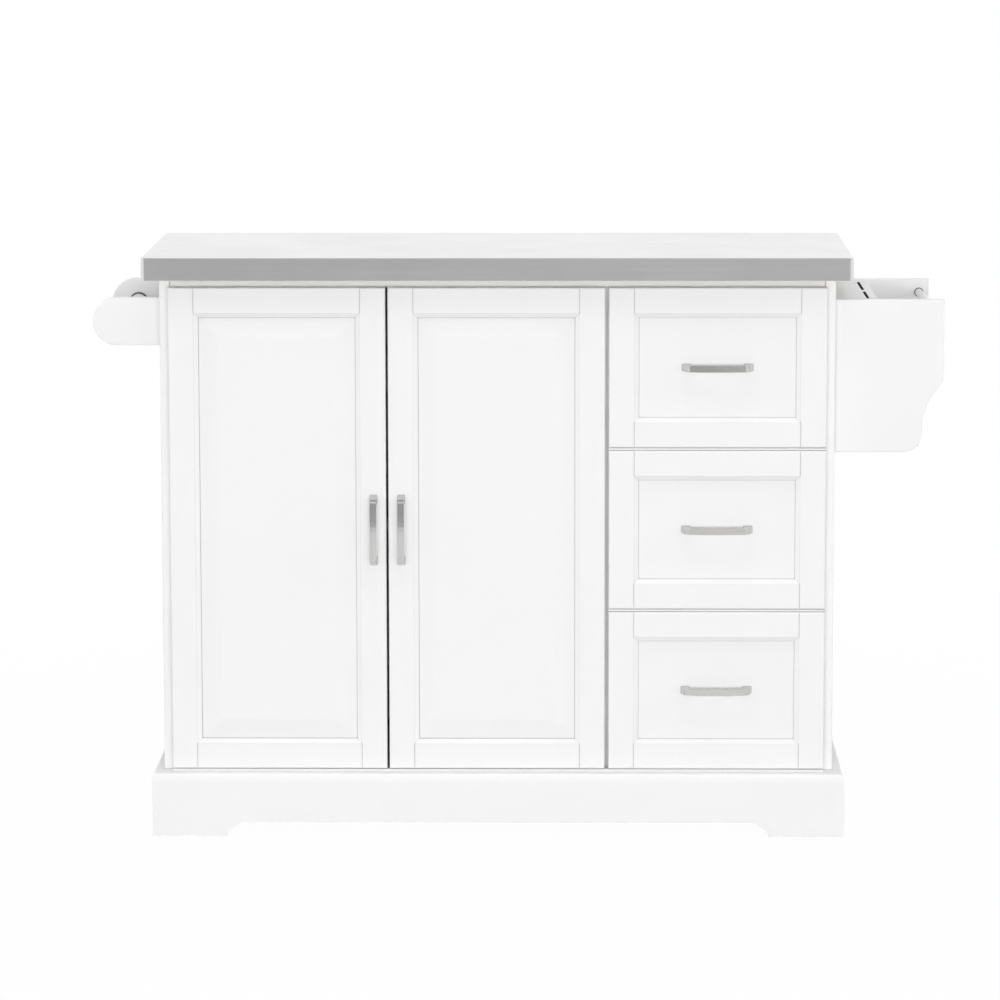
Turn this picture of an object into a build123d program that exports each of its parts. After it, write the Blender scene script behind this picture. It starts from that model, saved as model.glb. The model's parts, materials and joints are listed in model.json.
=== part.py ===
from build123d import *
from math import atan2, cos, degrees, radians, sin
import os

os.makedirs("parts", exist_ok=True)

# Rolling kitchen island: a white cabinet with two doors and three drawers under a steel worktop,
# a towel bar on its left side, a spice and knife rack on its right side, and casters behind its plinth.
# Sizes are in millimetres. While it is drawn, X runs to the right from the middle of the cabinet,
# Y runs to the back from the front edge of the worktop, and Z runs up from the floor.

# Worktop
total_height = 914.0
worktop_width = 1099.0
worktop_depth = 457.0
worktop_thickness = 35.0
skin_thickness = 1.2
worktop_corner_radius = 8.0
worktop_edge_radius = 2.5
side_overhang = 25.0
front_overhang = 22.0

# Carcass
board_thickness = 16.0
back_thickness = 12.0
stretcher_thickness = 14.0
stretcher_depth = 80.0
stretcher_setback = 5.0
edge_ease = 1.0

# Base board and plinth
base_top = 104.0
base_thickness = 15.0
base_overhang = 17.0
base_front = 4.0
mould_step = 5.0
mould_height = 13.0
plinth_thickness = 18.0
floor_gap = 5.0
foot_width = 117.0
apron_rise = 22.0
ogee_width = 30.0
ogee_quirk = 3.0
corner_block = 30.0

# Door and drawer fronts
front_thickness = 20.0
front_back_gap = 2.0
front_reveal = 14.5
door_gap = 3.5
middle_gap = 5.5
drawer_gap = 4.4
base_gap = 5.4
top_gap = 13.0
front_round = 3.0
back_bevel = 1.5

# Cope-and-stick frames and their panels
frame_face = 39.5
bevel_width = 7.0
bevel_lip = 0.8
bevel_depth = 5.3
groove_front = 7.5
groove_width = 6.0
groove_depth = 7.0
joint_groove = 0.8
panel_play = 0.15
panel_edge_play = 1.0
raised_border = 31.0
raised_depth = 2.5

# Pull handles
handle_centres = 96.0
handle_foot = 14.0
handle_leg_lean = 5.0
handle_leg_thickness = 8.0
handle_width = 10.7
handle_thickness = 5.5
handle_projection = 25.0
handle_bow = 3.5
handle_outer_bend = 7.0
handle_inner_bend = 4.0
handle_edge_bevel = 1.3

# Concealed cup hinges
pivot_inset = 7.5
pivot_depth = 9.0
pivot_radius = 1.25
pivot_clearance = 0.05
cup_radius = 17.5
cup_edge_distance = 3.0
cup_depth = 14.0
cup_wall = 0.5
cup_flange = 0.8
cup_flange_radius = 18.5
cup_ear_width = 14.0
cup_ear_length = 60.0
arm_thickness = 2.0
arm_width = 10.0
arm_eye_radius = 2.15
arm_bend = 3.0
arm_run = 15.0
arm_crank = 5.5
arm_crank_clearance = 1.5
arm_elbow = 9.0
arm_elbow_return = 2.0
arm_tail = 34.0
hinge_plate_thickness = 5.0
hinge_plate_length = 38.0
hinge_plate_width = 16.0
hinge_plate_setback = 24.0
hinge_wing_thickness = 2.0
hinge_wing_width = 14.0
hinge_wing_span = 52.0
hinge_from_end = 95.0

# Adjustable shelf
shelf_height = 480.0
shelf_setback = 34.0
shelf_play = 0.5
pin_radius = 2.5
pin_hole_depth = 9.0
pin_reach = 9.0
pin_row_pitch = 64.0
pin_from_edge = 60.0

# Drawer boxes and their runners
box_side_thickness = 12.0
box_height = 185.0
box_rear_gap = 21.0
box_above_front = 16.0
box_bottom_thickness = 4.0
box_bottom_rise = 10.0
box_groove = 5.0
runner_space = 12.7
runner_height = 45.0
runner_front_gap = 2.0
runner_rear_gap = 8.0
runner_sheet = 1.5
runner_lip = 10.0
runner_play = 0.3
runner_race = 3.0
runner_rise = 62.0
divider_depth = 50.0

# Towel bar
towel_reach = 106.5
towel_height = 75.0
towel_drop = 33.0
towel_board = 15.0
towel_front_inset = 30.0
towel_back_inset = 36.0
towel_bar_radius = 12.7
towel_bar_play = 0.7
towel_bar_inset = 43.0
towel_bar_socket = 8.0

# Spice and knife rack
rack_reach = 169.5
rack_drop = 35.0
rack_height = 238.5
rack_board = 15.0
rack_front_inset = 16.0
rack_back_inset = 31.0
rack_foot_straight = 6.5
rack_curve_drop = 88.0
rack_curve_step = 33.5
rack_shoulder_radius = 30.0
rack_corner_radius = 28.0
rack_backboard = 12.0
rack_shelf_thickness = 12.0
rack_lower_shelf_rise = 6.5
rack_upper_shelf_drop = 113.0
rack_shelf_setback = 4.0
rack_rod_radius = 6.0
rack_rod_play = 0.5
rack_rod_socket = 8.0
rack_rod_inset = 16.0
rack_lower_rod_inset = 8.0
rack_upper_rod_drop = 21.0
rack_lower_rod_rise = 68.5
ledge_width = 66.0
guard_thickness = 10.0
knife_slot_width = 5.0
knife_slot_offset = 52.0
slot_front_margin = 5.0
front_slot_length = 106.0
slot_web = 27.0
slot_rear_margin = 46.0

# Casters
caster_plate_size = 60.0
caster_plate_thickness = 2.5
caster_plate_corner = 6.0
caster_boss_radius = 15.0
caster_boss_height = 5.0
caster_stud_radius = 4.0
caster_head_radius = 7.0
caster_head_height = 2.5
caster_running_gap = 0.3
caster_bore_clearance = 0.05
fork_sheet = 3.0
fork_crown_radius = 23.0
fork_leg_foot_radius = 9.0
wheel_radius = 32.0
wheel_width = 22.0
wheel_edge_bevel = 3.0
wheel_hub_radius = 9.0
wheel_hub_width = 25.2
wheel_dish = 3.0
wheel_rim = 9.0
wheel_side_gap = 0.4
wheel_trail = 24.0
axle_radius = 3.0
axle_head_radius = 5.5
axle_head_height = 3.5
front_caster_x = 445.0
rear_caster_x = 435.0
caster_from_plinth = 88.0
brake_sheet = 2.0
brake_reach = 46.0
brake_pedal_length = 11.0
brake_arm_height = 10.0
brake_rise = 20.0

# Sizes that follow from those above
worktop_bottom = total_height - worktop_thickness
cabinet_half = worktop_width / 2 - side_overhang
inner_half = cabinet_half - board_thickness
front_face = front_overhang
front_back = front_face + front_thickness
carcass_front = front_back + front_back_gap
carcass_back = worktop_depth - front_overhang
inside_back = carcass_back - back_thickness
stretcher_bottom = worktop_bottom - stretcher_thickness
base_half = cabinet_half + base_overhang
base_back = worktop_depth - base_front
base_bottom = base_top - base_thickness
plinth_inside = base_front + plinth_thickness
frame_width = frame_face + bevel_width
fronts_half = cabinet_half - front_reveal
front_width = (2 * fronts_half - door_gap - middle_gap) / 3
left_door_x = (-fronts_half, front_width - fronts_half)
right_door_x = (left_door_x[1] + door_gap, left_door_x[1] + door_gap + front_width)
drawer_x = (right_door_x[1] + middle_gap, fronts_half)
partition_middle = (right_door_x[1] + drawer_x[0]) / 2
partition_left = partition_middle - board_thickness / 2
partition_right = partition_middle + board_thickness / 2
front_bottom = base_top + base_gap
front_top = worktop_bottom - top_gap
drawer_height = (front_top - front_bottom - 2 * drawer_gap) / 3
depth_middle = worktop_depth / 2
box_depth = inside_back - front_back - box_rear_gap
runner_start = carcass_front + runner_front_gap
runner_end = front_back + box_depth - runner_rear_gap
rack_front = carcass_front + rack_front_inset
rack_back = carcass_back - rack_back_inset
rack_top = worktop_bottom - rack_drop
rack_bottom = rack_top - rack_height
rack_straight = rack_height - rack_curve_drop - rack_corner_radius - rack_foot_straight
towel_front = carcass_front + towel_front_inset
towel_back = carcass_back - towel_back_inset
towel_top = worktop_bottom - towel_drop

# The object's own origin lies on the floor, under the middle of its overall box.
origin_x = (rack_reach - towel_reach) / 2
origin_y = (worktop_depth + front_face - handle_projection) / 2


def save(name, *pieces):
    """Write one sub-part, moved from the drawing axes to the object's own origin."""
    solids = [solid for piece in pieces for solid in piece.solids()]
    placed = [Pos(-origin_x, -origin_y, 0) * solid for solid in solids]
    export_step(placed[0] if len(placed) == 1 else Compound(children=placed), f"parts/{name}.step")


def board(x_range, y_range, z_range):
    """A plain board between three pairs of limits."""
    sizes = [high - low for low, high in (x_range, y_range, z_range)]
    middle = [(low + high) / 2 for low, high in (x_range, y_range, z_range)]
    return Pos(*middle) * Box(*sizes)


def eased(piece, axis):
    """Ease the long edges of a board that run along one axis."""
    return chamfer(piece.edges().filter_by(axis), edge_ease)


def along_y(outline, y, depth):
    """Push an outline drawn in X and Z along Y from a given place."""
    return extrude(Plane(origin=(0, y, 0), x_dir=(1, 0, 0), z_dir=(0, -1, 0)) * outline, -depth)


def along_x(outline, x, depth):
    """Push an outline drawn in Y and Z along X from a given place."""
    return extrude(Plane(origin=(x, 0, 0), x_dir=(0, 1, 0), z_dir=(1, 0, 0)) * outline, depth)


def upright_rod(x, y, z_range, radius):
    height = z_range[1] - z_range[0]
    return Pos(x, y, z_range[0] + height / 2) * Cylinder(radius, height)


def level_rod(x, z, y_range, radius):
    length = y_range[1] - y_range[0]
    return Pos(x, y_range[0] + length / 2, z) * Rot(90, 0, 0) * Cylinder(radius, length)


# Worktop


def worktop():
    """A sheet-steel tray, with its corners bent round, pressed over a solid core."""
    outer = extrude(RectangleRounded(worktop_width, worktop_depth, worktop_corner_radius), worktop_thickness)
    outer = fillet(outer.edges().group_by(Axis.Z)[-1], worktop_edge_radius)
    core_outline = RectangleRounded(
        worktop_width - 2 * skin_thickness,
        worktop_depth - 2 * skin_thickness,
        worktop_corner_radius - skin_thickness,
    )
    core = extrude(core_outline, worktop_thickness - skin_thickness)
    place = Pos(0, depth_middle, worktop_bottom)
    save("worktop_skin", place * (outer - core))
    save("worktop_core", place * core)


# Carcass


def pin_places():
    """Depth and height of each shelf pin hole, in rows above and below the shelf."""
    depths = (carcass_front + pin_from_edge, inside_back - pin_from_edge)
    heights = [shelf_height - pin_radius + step * pin_row_pitch for step in (-1, 0, 1)]
    return [(y, z) for y in depths for z in heights]


def pin_holes(x_face, direction):
    """Blind holes for the shelf pins in the face of an upright board."""
    turn = Rot(0, 90, 0)
    middle = x_face + direction * pin_hole_depth / 2
    return [Pos(middle, y, z) * turn * Cylinder(pin_radius, pin_hole_depth) for y, z in pin_places()]


def carcass():
    depth_range = (carcass_front, carcass_back)
    left = board((-cabinet_half, -inner_half), depth_range, (base_top, worktop_bottom))
    left = eased(left, Axis.Z)
    for hole in pin_holes(-inner_half, -1):
        left -= hole
    save("side_panel_left", left)
    right = board((inner_half, cabinet_half), depth_range, (base_top, worktop_bottom))
    save("side_panel_right", eased(right, Axis.Z))
    partition = board((partition_left, partition_right), (carcass_front, inside_back), (base_top, stretcher_bottom))
    for hole in pin_holes(partition_left, 1):
        partition -= hole
    save("center_partition", partition)
    save("back_panel", board((-inner_half, inner_half), (inside_back, carcass_back), (base_top, worktop_bottom)))
    front_rail_start = carcass_front + stretcher_setback
    across = (-inner_half, inner_half)
    rail_heights = (stretcher_bottom, worktop_bottom)
    save("top_front_rail", board(across, (front_rail_start, front_rail_start + stretcher_depth), rail_heights))
    save("top_back_rail", board(across, (inside_back - stretcher_depth, inside_back), rail_heights))


def shelf():
    """The adjustable shelf of the door side, on four pins."""
    shelf_x = (-inner_half + shelf_play, partition_left - shelf_play)
    shelf_y = (carcass_front + shelf_setback, inside_back - shelf_play)
    piece = board(shelf_x, shelf_y, (shelf_height, shelf_height + board_thickness))
    save("door_shelf", chamfer(piece.edges().filter_by(Axis.X).sort_by(Axis.Y)[:2], edge_ease))
    pins = []
    for x_face, direction in ((-inner_half, 1), (partition_left, -1)):
        for y in (carcass_front + pin_from_edge, inside_back - pin_from_edge):
            middle = x_face + direction * (pin_reach - pin_hole_depth) / 2
            rod = Rot(0, 90, 0) * Cylinder(pin_radius, pin_reach + pin_hole_depth)
            pins.append(Pos(middle, y, shelf_height - pin_radius) * rod)
    save("shelf_pins", *pins)


# Base board and plinth


def moulded_section(half_width):
    """Section across the base board: a quarter ellipse steps its top edge back at both ends."""
    shoulder = base_top - mould_height
    inner = half_width - mould_step
    lines = [
        Line((-half_width, shoulder), (-half_width, base_bottom)),
        Line((-half_width, base_bottom), (half_width, base_bottom)),
        Line((half_width, base_bottom), (half_width, shoulder)),
        EllipticalCenterArc((inner, shoulder), mould_step, mould_height, 0, arc_size=90),
        Line((inner, base_top), (-inner, base_top)),
        EllipticalCenterArc((-inner, shoulder), mould_step, mould_height, 90, arc_size=90),
    ]
    return make_face(Wire(lines_to_edges(lines)))


def moulded_board():
    """The base board, where the mouldings of its four edges meet in mitred corners."""
    depth = base_back - base_front
    lengthwise = along_y(moulded_section(base_half), base_front, depth)
    crosswise = along_x(Pos(depth_middle, 0) * moulded_section(depth / 2), -base_half, 2 * base_half)
    return lengthwise & crosswise


def foot_curve(start, direction):
    """The ogee from a bracket foot's inner corner up to the apron, in two arcs with a small quirk."""
    x, z = start
    first_end = (x + direction * ogee_width * 0.38, z + apron_rise * 0.64)
    second_start = (first_end[0] + direction * ogee_quirk, first_end[1])
    top = (x + direction * ogee_width, z + apron_rise)
    first_middle = (x + direction * ogee_width * 0.15, z + apron_rise * 0.39)
    second_middle = (
        second_start[0] + 0.38 * (top[0] - second_start[0]),
        second_start[1] + 0.72 * (top[1] - second_start[1]),
    )
    lower = ThreePointArc(start, first_middle, first_end)
    quirk = Line(first_end, second_start)
    upper = ThreePointArc(second_start, second_middle, top)
    return [lower, quirk, upper], top


def apron_outline(low, high, low_foot, high_foot):
    """The outline of a plinth board with a bracket foot at each end."""
    left_curve, left_top = foot_curve((low + low_foot, floor_gap), 1)
    right_curve, right_top = foot_curve((high - high_foot, floor_gap), -1)
    lines = [
        Polyline((low + low_foot, floor_gap), (low, floor_gap), (low, base_bottom), (high, base_bottom)),
        Polyline((high, base_bottom), (high, floor_gap), (high - high_foot, floor_gap)),
        Line(left_top, right_top),
    ]
    return make_face(Wire(lines_to_edges(lines + left_curve + right_curve)))


def lines_to_edges(lines):
    return [edge for line in lines for edge in line.edges()]


def plinth():
    save("bottom_panel", moulded_board())
    long_outline = apron_outline(-base_half, base_half, foot_width, foot_width)
    save("plinth_front", along_y(long_outline, base_front, plinth_thickness))
    save("plinth_back", along_y(long_outline, base_back - plinth_thickness, plinth_thickness))
    side_foot = foot_width - plinth_thickness
    side_outline = apron_outline(plinth_inside, worktop_depth - plinth_inside, side_foot, side_foot)
    save("plinth_left", along_x(side_outline, -base_half, plinth_thickness))
    save("plinth_right", along_x(side_outline, base_half - plinth_thickness, plinth_thickness))
    blocks = []
    reach = base_half - plinth_thickness - corner_block
    block_heights = (floor_gap + apron_rise, base_bottom)
    for x_low in (-reach - corner_block, reach):
        for y_low in (plinth_inside, worktop_depth - plinth_inside - corner_block):
            block = board((x_low, x_low + corner_block), (y_low, y_low + corner_block), block_heights)
            inner_x = 0 if x_low < 0 else -1
            inner_y = -1 if y_low < depth_middle else 0
            upright = block.edges().filter_by(Axis.Z).sort_by(Axis.X)
            pair = upright[2:] if inner_x == 0 else upright[:2]
            edge = pair.sort_by(Axis.Y)[inner_y]
            blocks.append(chamfer(edge, corner_block / 2))
    save("plinth_corner_blocks", *blocks)


# Door and drawer fronts


def frame_profile():
    """Section of a stile or rail: U runs inward from its outer edge, V back from its face."""
    groove_back = groove_front + groove_width
    points = [
        (0, 0),
        (frame_face, 0),
        (frame_face, bevel_lip),
        (frame_width, bevel_depth),
        (frame_width, groove_front),
        (frame_width - groove_depth, groove_front),
        (frame_width - groove_depth, groove_back),
        (frame_width, groove_back),
        (frame_width, front_thickness),
        (0, front_thickness),
    ]
    return Polygon(*points, align=None)


def frame_member(start, inward, along, length):
    return extrude(Plane(origin=start, x_dir=inward, z_dir=along) * frame_profile(), length)


def rounded_slab(x_range, z_range):
    """The whole front as one slab, rounded over around its face and bevelled around its back."""
    slab = board(x_range, (front_face, front_back), z_range)
    around = slab.edges().group_by(Axis.Y)
    slab = fillet(around[0], front_round)
    return chamfer(slab.edges().group_by(Axis.Y)[-1], back_bevel)


def joint_line(x, z_range):
    """The fine V groove where a rail's end meets a stile."""
    outline = Polygon((-joint_groove, 0), (joint_groove, 0), (0, joint_groove), align=None)
    return extrude(Pos(x, front_face, z_range[0]) * outline, z_range[1] - z_range[0])


def front_frame(x_range, z_range):
    """Two stiles and two coped rails, each its own piece."""
    left, right = x_range
    low, high = z_range
    height = high - low
    joint_left = left + frame_face
    joint_right = right - frame_face
    rail_length = joint_right - joint_left
    stiles = [
        frame_member((left, front_face, low), (1, 0, 0), (0, 0, 1), height),
        frame_member((right, front_face, high), (-1, 0, 0), (0, 0, -1), height),
    ]
    rails = [
        frame_member((joint_right, front_face, low), (0, 0, 1), (-1, 0, 0), rail_length),
        frame_member((joint_left, front_face, high), (0, 0, -1), (1, 0, 0), rail_length),
    ]
    rails = [rail - stiles[0] - stiles[1] for rail in rails]
    slab = rounded_slab(x_range, z_range)
    members = [member & slab for member in stiles + rails]
    for x in (joint_left, joint_right):
        for heights in ((low, low + frame_face), (high - frame_face, high)):
            cut = joint_line(x, heights)
            members = [member - cut for member in members]
    return members


def front_panel(x_range, z_range, raised):
    """The panel that floats in the frame's groove, flat or with a sloped border and a raised field."""
    edge = frame_width - groove_depth + panel_edge_play
    tongue_front = front_face + groove_front + panel_play
    tongue_back = front_face + groove_front + groove_width - panel_play
    left, right = x_range
    low, high = z_range
    panel = board((left + edge, right - edge), (tongue_front, tongue_back), (low + edge, high - edge))
    if not raised:
        return panel
    middle_x = (left + right) / 2
    middle_z = (low + high) / 2
    border = frame_width + raised_border
    outer_plane = Plane(origin=(middle_x, tongue_front, middle_z), x_dir=(1, 0, 0), z_dir=(0, -1, 0))
    field_front = front_face + raised_depth
    inner_plane = Plane(origin=(middle_x, field_front, middle_z), x_dir=(1, 0, 0), z_dir=(0, -1, 0))
    outer = outer_plane * Rectangle(right - left - 2 * frame_width, high - low - 2 * frame_width)
    inner = inner_plane * Rectangle(right - left - 2 * border, high - low - 2 * border)
    return panel + loft([outer, inner], ruled=True)


def pull_handle():
    """A bowed pull along X whose tapered legs stand on Y = 0 and which reaches towards -Y."""
    foot_outside = (handle_centres + handle_foot) / 2
    foot_inside = (handle_centres - handle_foot) / 2
    outside = foot_outside - handle_leg_lean
    inside = outside - handle_leg_thickness
    outside_y = handle_bow - handle_projection
    inside_y = outside_y + handle_thickness
    outline = make_face(
        [
            Line((-foot_outside, 0), (-outside, outside_y)),
            ThreePointArc((-outside, outside_y), (0, -handle_projection), (outside, outside_y)),
            Line((outside, outside_y), (foot_outside, 0)),
            Line((foot_outside, 0), (foot_inside, 0)),
            Line((foot_inside, 0), (inside, inside_y)),
            ThreePointArc((inside, inside_y), (0, handle_thickness - handle_projection), (-inside, inside_y)),
            Line((-inside, inside_y), (-foot_inside, 0)),
            Line((-foot_inside, 0), (-foot_outside, 0)),
        ]
    )
    outline = fillet(outline.vertices().group_by(Axis.Y)[0], handle_outer_bend)
    inner_corners = outline.vertices().filter_by(lambda corner: abs(corner.Y - inside_y) < edge_ease / 100)
    outline = fillet(inner_corners, handle_inner_bend)
    pull = extrude(outline, handle_width / 2, both=True)
    sides = pull.edges().group_by(Axis.Z)
    long_edges = [edge for edge in sides[0] + sides[-1] if edge.center().Y < -edge_ease / 100]
    return chamfer(long_edges, handle_edge_bevel)


# Hinges, drawn about their pivot: X towards the upright board, Y towards the back


def cup_place():
    """The cup's middle and the depths of its floor and mouth, measured from the pivot."""
    middle = pivot_inset - cup_edge_distance - cup_radius
    mouth = front_thickness - pivot_depth
    return middle, mouth - cup_depth, mouth


def cup_round(radius, y_range):
    middle = cup_place()[0]
    return level_rod(middle, 0, y_range, radius)


def hinge_cup():
    """A pressed cup with two screw ears, and the pivot pin across it."""
    middle, floor, mouth = cup_place()
    shell = cup_round(cup_radius, (floor, mouth)) + cup_round(cup_flange_radius, (mouth, mouth + cup_flange))
    ears = board(
        (middle - cup_ear_width / 2, middle + cup_ear_width / 2),
        (mouth, mouth + cup_flange),
        (-cup_ear_length / 2, cup_ear_length / 2),
    )
    shell += chamfer(ears.edges().filter_by(Axis.Y), cup_ear_width / 4)
    shell -= cup_round(cup_radius - cup_wall, (floor + cup_wall, mouth + cup_flange))
    pin = Cylinder(pivot_radius, 2 * cup_radius) & cup_round(cup_radius - cup_wall / 2, (floor, mouth))
    return shell + pin


def hinge_arm(board_distance):
    """The cranked arm, from its eye on the pivot out of the cup and back to the mounting plate."""
    plate_face = board_distance - hinge_plate_thickness - arm_thickness / 2
    plate_start = hinge_plate_start()
    crank_y = cup_depth + arm_crank_clearance
    points = [
        (0, 0),
        (-arm_run, 0),
        (-arm_run - arm_crank, crank_y),
        (-arm_run - arm_crank + arm_elbow_return, crank_y + arm_elbow),
        (plate_face, plate_start),
        (plate_face, plate_start + arm_tail),
    ]
    path = FilletPolyline(*points, radius=arm_bend)
    section = Plane(origin=(0, 0, 0), x_dir=(0, 0, 1), z_dir=(-1, 0, 0)) * Rectangle(arm_width, arm_thickness)
    arm = sweep(section, path) + Cylinder(arm_eye_radius, arm_width)
    return arm - Cylinder(pivot_radius + pivot_clearance, arm_width)


def hinge_plate_start():
    """Where the mounting plate begins, behind the pivot."""
    return front_thickness - pivot_depth + front_back_gap + hinge_plate_setback


def hinge_plate(board_distance):
    start = hinge_plate_start()
    body = board(
        (board_distance - hinge_plate_thickness, board_distance),
        (start, start + hinge_plate_length),
        (-hinge_plate_width / 2, hinge_plate_width / 2),
    )
    wing_start = start + (hinge_plate_length - hinge_wing_width) / 2
    wings = board(
        (board_distance - hinge_wing_thickness, board_distance),
        (wing_start, wing_start + hinge_wing_width),
        (-hinge_wing_span / 2, hinge_wing_span / 2),
    )
    return body + wings


def hinge_heights():
    return (front_bottom + hinge_from_end, front_top - hinge_from_end)


def hinges_for(door_edge, side, board_face):
    """Both hinges of one door. side is 1 where the hinge is at the door's right edge, else -1."""
    pivot_x = door_edge - side * pivot_inset
    distance = side * (board_face - pivot_x)
    placed = {"cup": [], "arm": [], "plate": [], "drill": []}
    middle, floor, mouth = cup_place()
    shapes = {
        "cup": hinge_cup(),
        "arm": hinge_arm(distance),
        "plate": hinge_plate(distance),
        "drill": cup_round(cup_radius, (floor, mouth + cup_flange)),
    }
    for kind, shape in shapes.items():
        handed = shape if side > 0 else mirror(shape, Plane.YZ)
        for z in hinge_heights():
            placed[kind].append(Pos(pivot_x, front_face + pivot_depth, z) * handed)
    return placed


def door(name, x_range, hinge_side):
    z_range = (front_bottom, front_top)
    hinge_edge = x_range[1] if hinge_side > 0 else x_range[0]
    free_edge = x_range[0] if hinge_side > 0 else x_range[1]
    board_face = partition_left if hinge_side > 0 else -inner_half
    hinges = hinges_for(hinge_edge, hinge_side, board_face)
    members = front_frame(x_range, z_range)
    for drill in hinges["drill"]:
        members = [member - drill for member in members]
    save(f"{name}_frame", *members)
    save(f"{name}_panel", front_panel(x_range, z_range, True))
    handle_x = free_edge + hinge_side * frame_face / 2
    upright = Pos(handle_x, front_face, (front_bottom + front_top) / 2) * Rot(0, 90, 0)
    save(f"{name}_handle", upright * pull_handle())
    save(f"{name}_hinge_cups", *hinges["cup"])
    return hinges


def doors():
    left = door("left_door", left_door_x, -1)
    right = door("right_door", right_door_x, 1)
    save("door_hinge_arms", *left["arm"], *right["arm"], *left["plate"], *right["plate"])


# Drawers


def drawer_bottoms():
    """Lower edge of each drawer front, from the top drawer down."""
    step = drawer_height + drawer_gap
    return [front_bottom + row * step for row in (2, 1, 0)]


def outer_runner(face, side, z):
    """The channel on the cabinet. side is 1 where the drawer lies to its right."""
    far = face + side * runner_sheet
    lip = face + side * runner_lip
    lengths = (runner_start, runner_end)
    half = runner_height / 2
    web = board(sorted((face, far)), lengths, (z - half, z + half))
    upper = board(sorted((face, lip)), lengths, (z + half - runner_sheet, z + half))
    lower = board(sorted((face, lip)), lengths, (z - half, z - half + runner_sheet))
    return web + upper + lower


def inner_runner(face, side, z):
    """The channel on the drawer side, running inside the cabinet's channel."""
    drawer_face = face + side * runner_space
    web_face = drawer_face - side * runner_sheet
    tip = face + side * (runner_sheet + runner_play)
    lengths = (runner_start, runner_end)
    half = runner_height / 2 - runner_sheet - runner_play
    web = board(sorted((web_face, drawer_face)), lengths, (z - half, z + half))
    upper = board(sorted((tip, drawer_face)), lengths, (z + half - runner_race, z + half))
    lower = board(sorted((tip, drawer_face)), lengths, (z - half, z - half + runner_race))
    return web + upper + lower


def drawer_box(low):
    """Two sides, an inner front and a back, with the bottom held in a groove."""
    left = partition_right + runner_space
    right = inner_half - runner_space
    back = front_back + box_depth
    floor_low = low + box_bottom_rise
    floor_high = floor_low + box_bottom_thickness
    heights = (low, low + box_height)
    inner = (left + box_side_thickness, right - box_side_thickness)
    bottom = board(
        (inner[0] - box_groove, inner[1] + box_groove),
        (front_back + box_side_thickness - box_groove, back - box_side_thickness + box_groove),
        (floor_low, floor_high),
    )
    walls = [
        board((left, inner[0]), (front_back, back), heights),
        board((inner[1], right), (front_back, back), heights),
        board(inner, (front_back, front_back + box_side_thickness), heights),
        board(inner, (back - box_side_thickness, back), heights),
    ]
    walls = [wall - bottom for wall in walls]
    return walls + [bottom]


def drawers():
    tracks = []
    for name, bottom in zip(("top", "middle", "bottom"), drawer_bottoms()):
        z_range = (bottom, bottom + drawer_height)
        panel = front_panel(drawer_x, z_range, False)
        save(f"drawer_{name}_front", *front_frame(drawer_x, z_range), panel)
        box_low = bottom + box_above_front
        save(f"drawer_{name}_box", *drawer_box(box_low))
        panel_face = front_face + groove_front + panel_play
        place = Pos(sum(drawer_x) / 2, panel_face, sum(z_range) / 2)
        save(f"drawer_{name}_handle", place * pull_handle())
        runner_z = box_low + runner_rise
        ends = ((partition_right, 1), (inner_half, -1))
        save(f"drawer_{name}_runners", *[inner_runner(face, side, runner_z) for face, side in ends])
        tracks += [outer_runner(face, side, runner_z) for face, side in ends]
    save("runner_tracks", *tracks)
    dividers = []
    divider_y = (carcass_front, carcass_front + divider_depth)
    for bottom in drawer_bottoms()[:2]:
        middle = bottom - drawer_gap / 2
        heights = (middle - board_thickness / 2, middle + board_thickness / 2)
        dividers.append(board((partition_right, inner_half), divider_y, heights))
    foot_rail = (base_top, base_top + board_thickness - base_gap)
    dividers.append(board((partition_right, inner_half), divider_y, foot_rail))
    save("drawer_dividers", *dividers)


# Towel bar


def towel_rail():
    radius = towel_height / 2
    low = towel_top - towel_height
    tip = -cabinet_half - towel_reach
    flat = Pos((tip + radius - cabinet_half) / 2, towel_top - radius) * Rectangle(towel_reach - radius, towel_height)
    outline = flat + Pos(tip + radius, low + radius) * Circle(radius)
    bar_x = tip + towel_bar_inset
    bar_z = low + radius
    bar_y = (towel_front + towel_board - towel_bar_socket, towel_back - towel_board + towel_bar_socket)
    socket = level_rod(bar_x, bar_z, bar_y, towel_bar_radius + towel_bar_play)
    front = along_y(outline, towel_front, towel_board)
    back = along_y(outline, towel_back - towel_board, towel_board)
    save("towel_bracket_front", rim_eased(front) - socket)
    save("towel_bracket_back", rim_eased(back) - socket)
    save("towel_bar", level_rod(bar_x, bar_z, bar_y, towel_bar_radius))


def rim_eased(piece):
    """Ease the outline of a board that stands across Y, on both of its faces."""
    groups = piece.edges().group_by(Axis.Y)
    return chamfer(groups[0] + groups[-1], edge_ease)


# Spice and knife rack


def rack_outline():
    """A rack end: straight outer edge, a shoulder and a cove under it, and a rounded lower corner."""
    outer = cabinet_half + rack_reach
    curve_top = rack_top - rack_straight
    turn = 2 * degrees(atan2(rack_curve_step, rack_curve_drop))
    both_radii = rack_curve_drop / sin(radians(turn))
    shoulder = JernArc((outer, curve_top), (0, -1), rack_shoulder_radius, -turn)
    cove = JernArc(shoulder @ 1, shoulder % 1, both_radii - rack_shoulder_radius, turn)
    narrow = (cove @ 1).X
    corner_start = (narrow, rack_bottom + rack_corner_radius)
    corner = JernArc(corner_start, (0, -1), rack_corner_radius, -90)
    rest = Polyline(
        corner @ 1,
        (cabinet_half, rack_bottom),
        (cabinet_half, rack_top),
        (outer, rack_top),
        (outer, curve_top),
    )
    lines = [shoulder, cove, Line(cove @ 1, corner_start), corner, rest]
    return make_face(Wire(lines_to_edges(lines))), narrow


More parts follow.
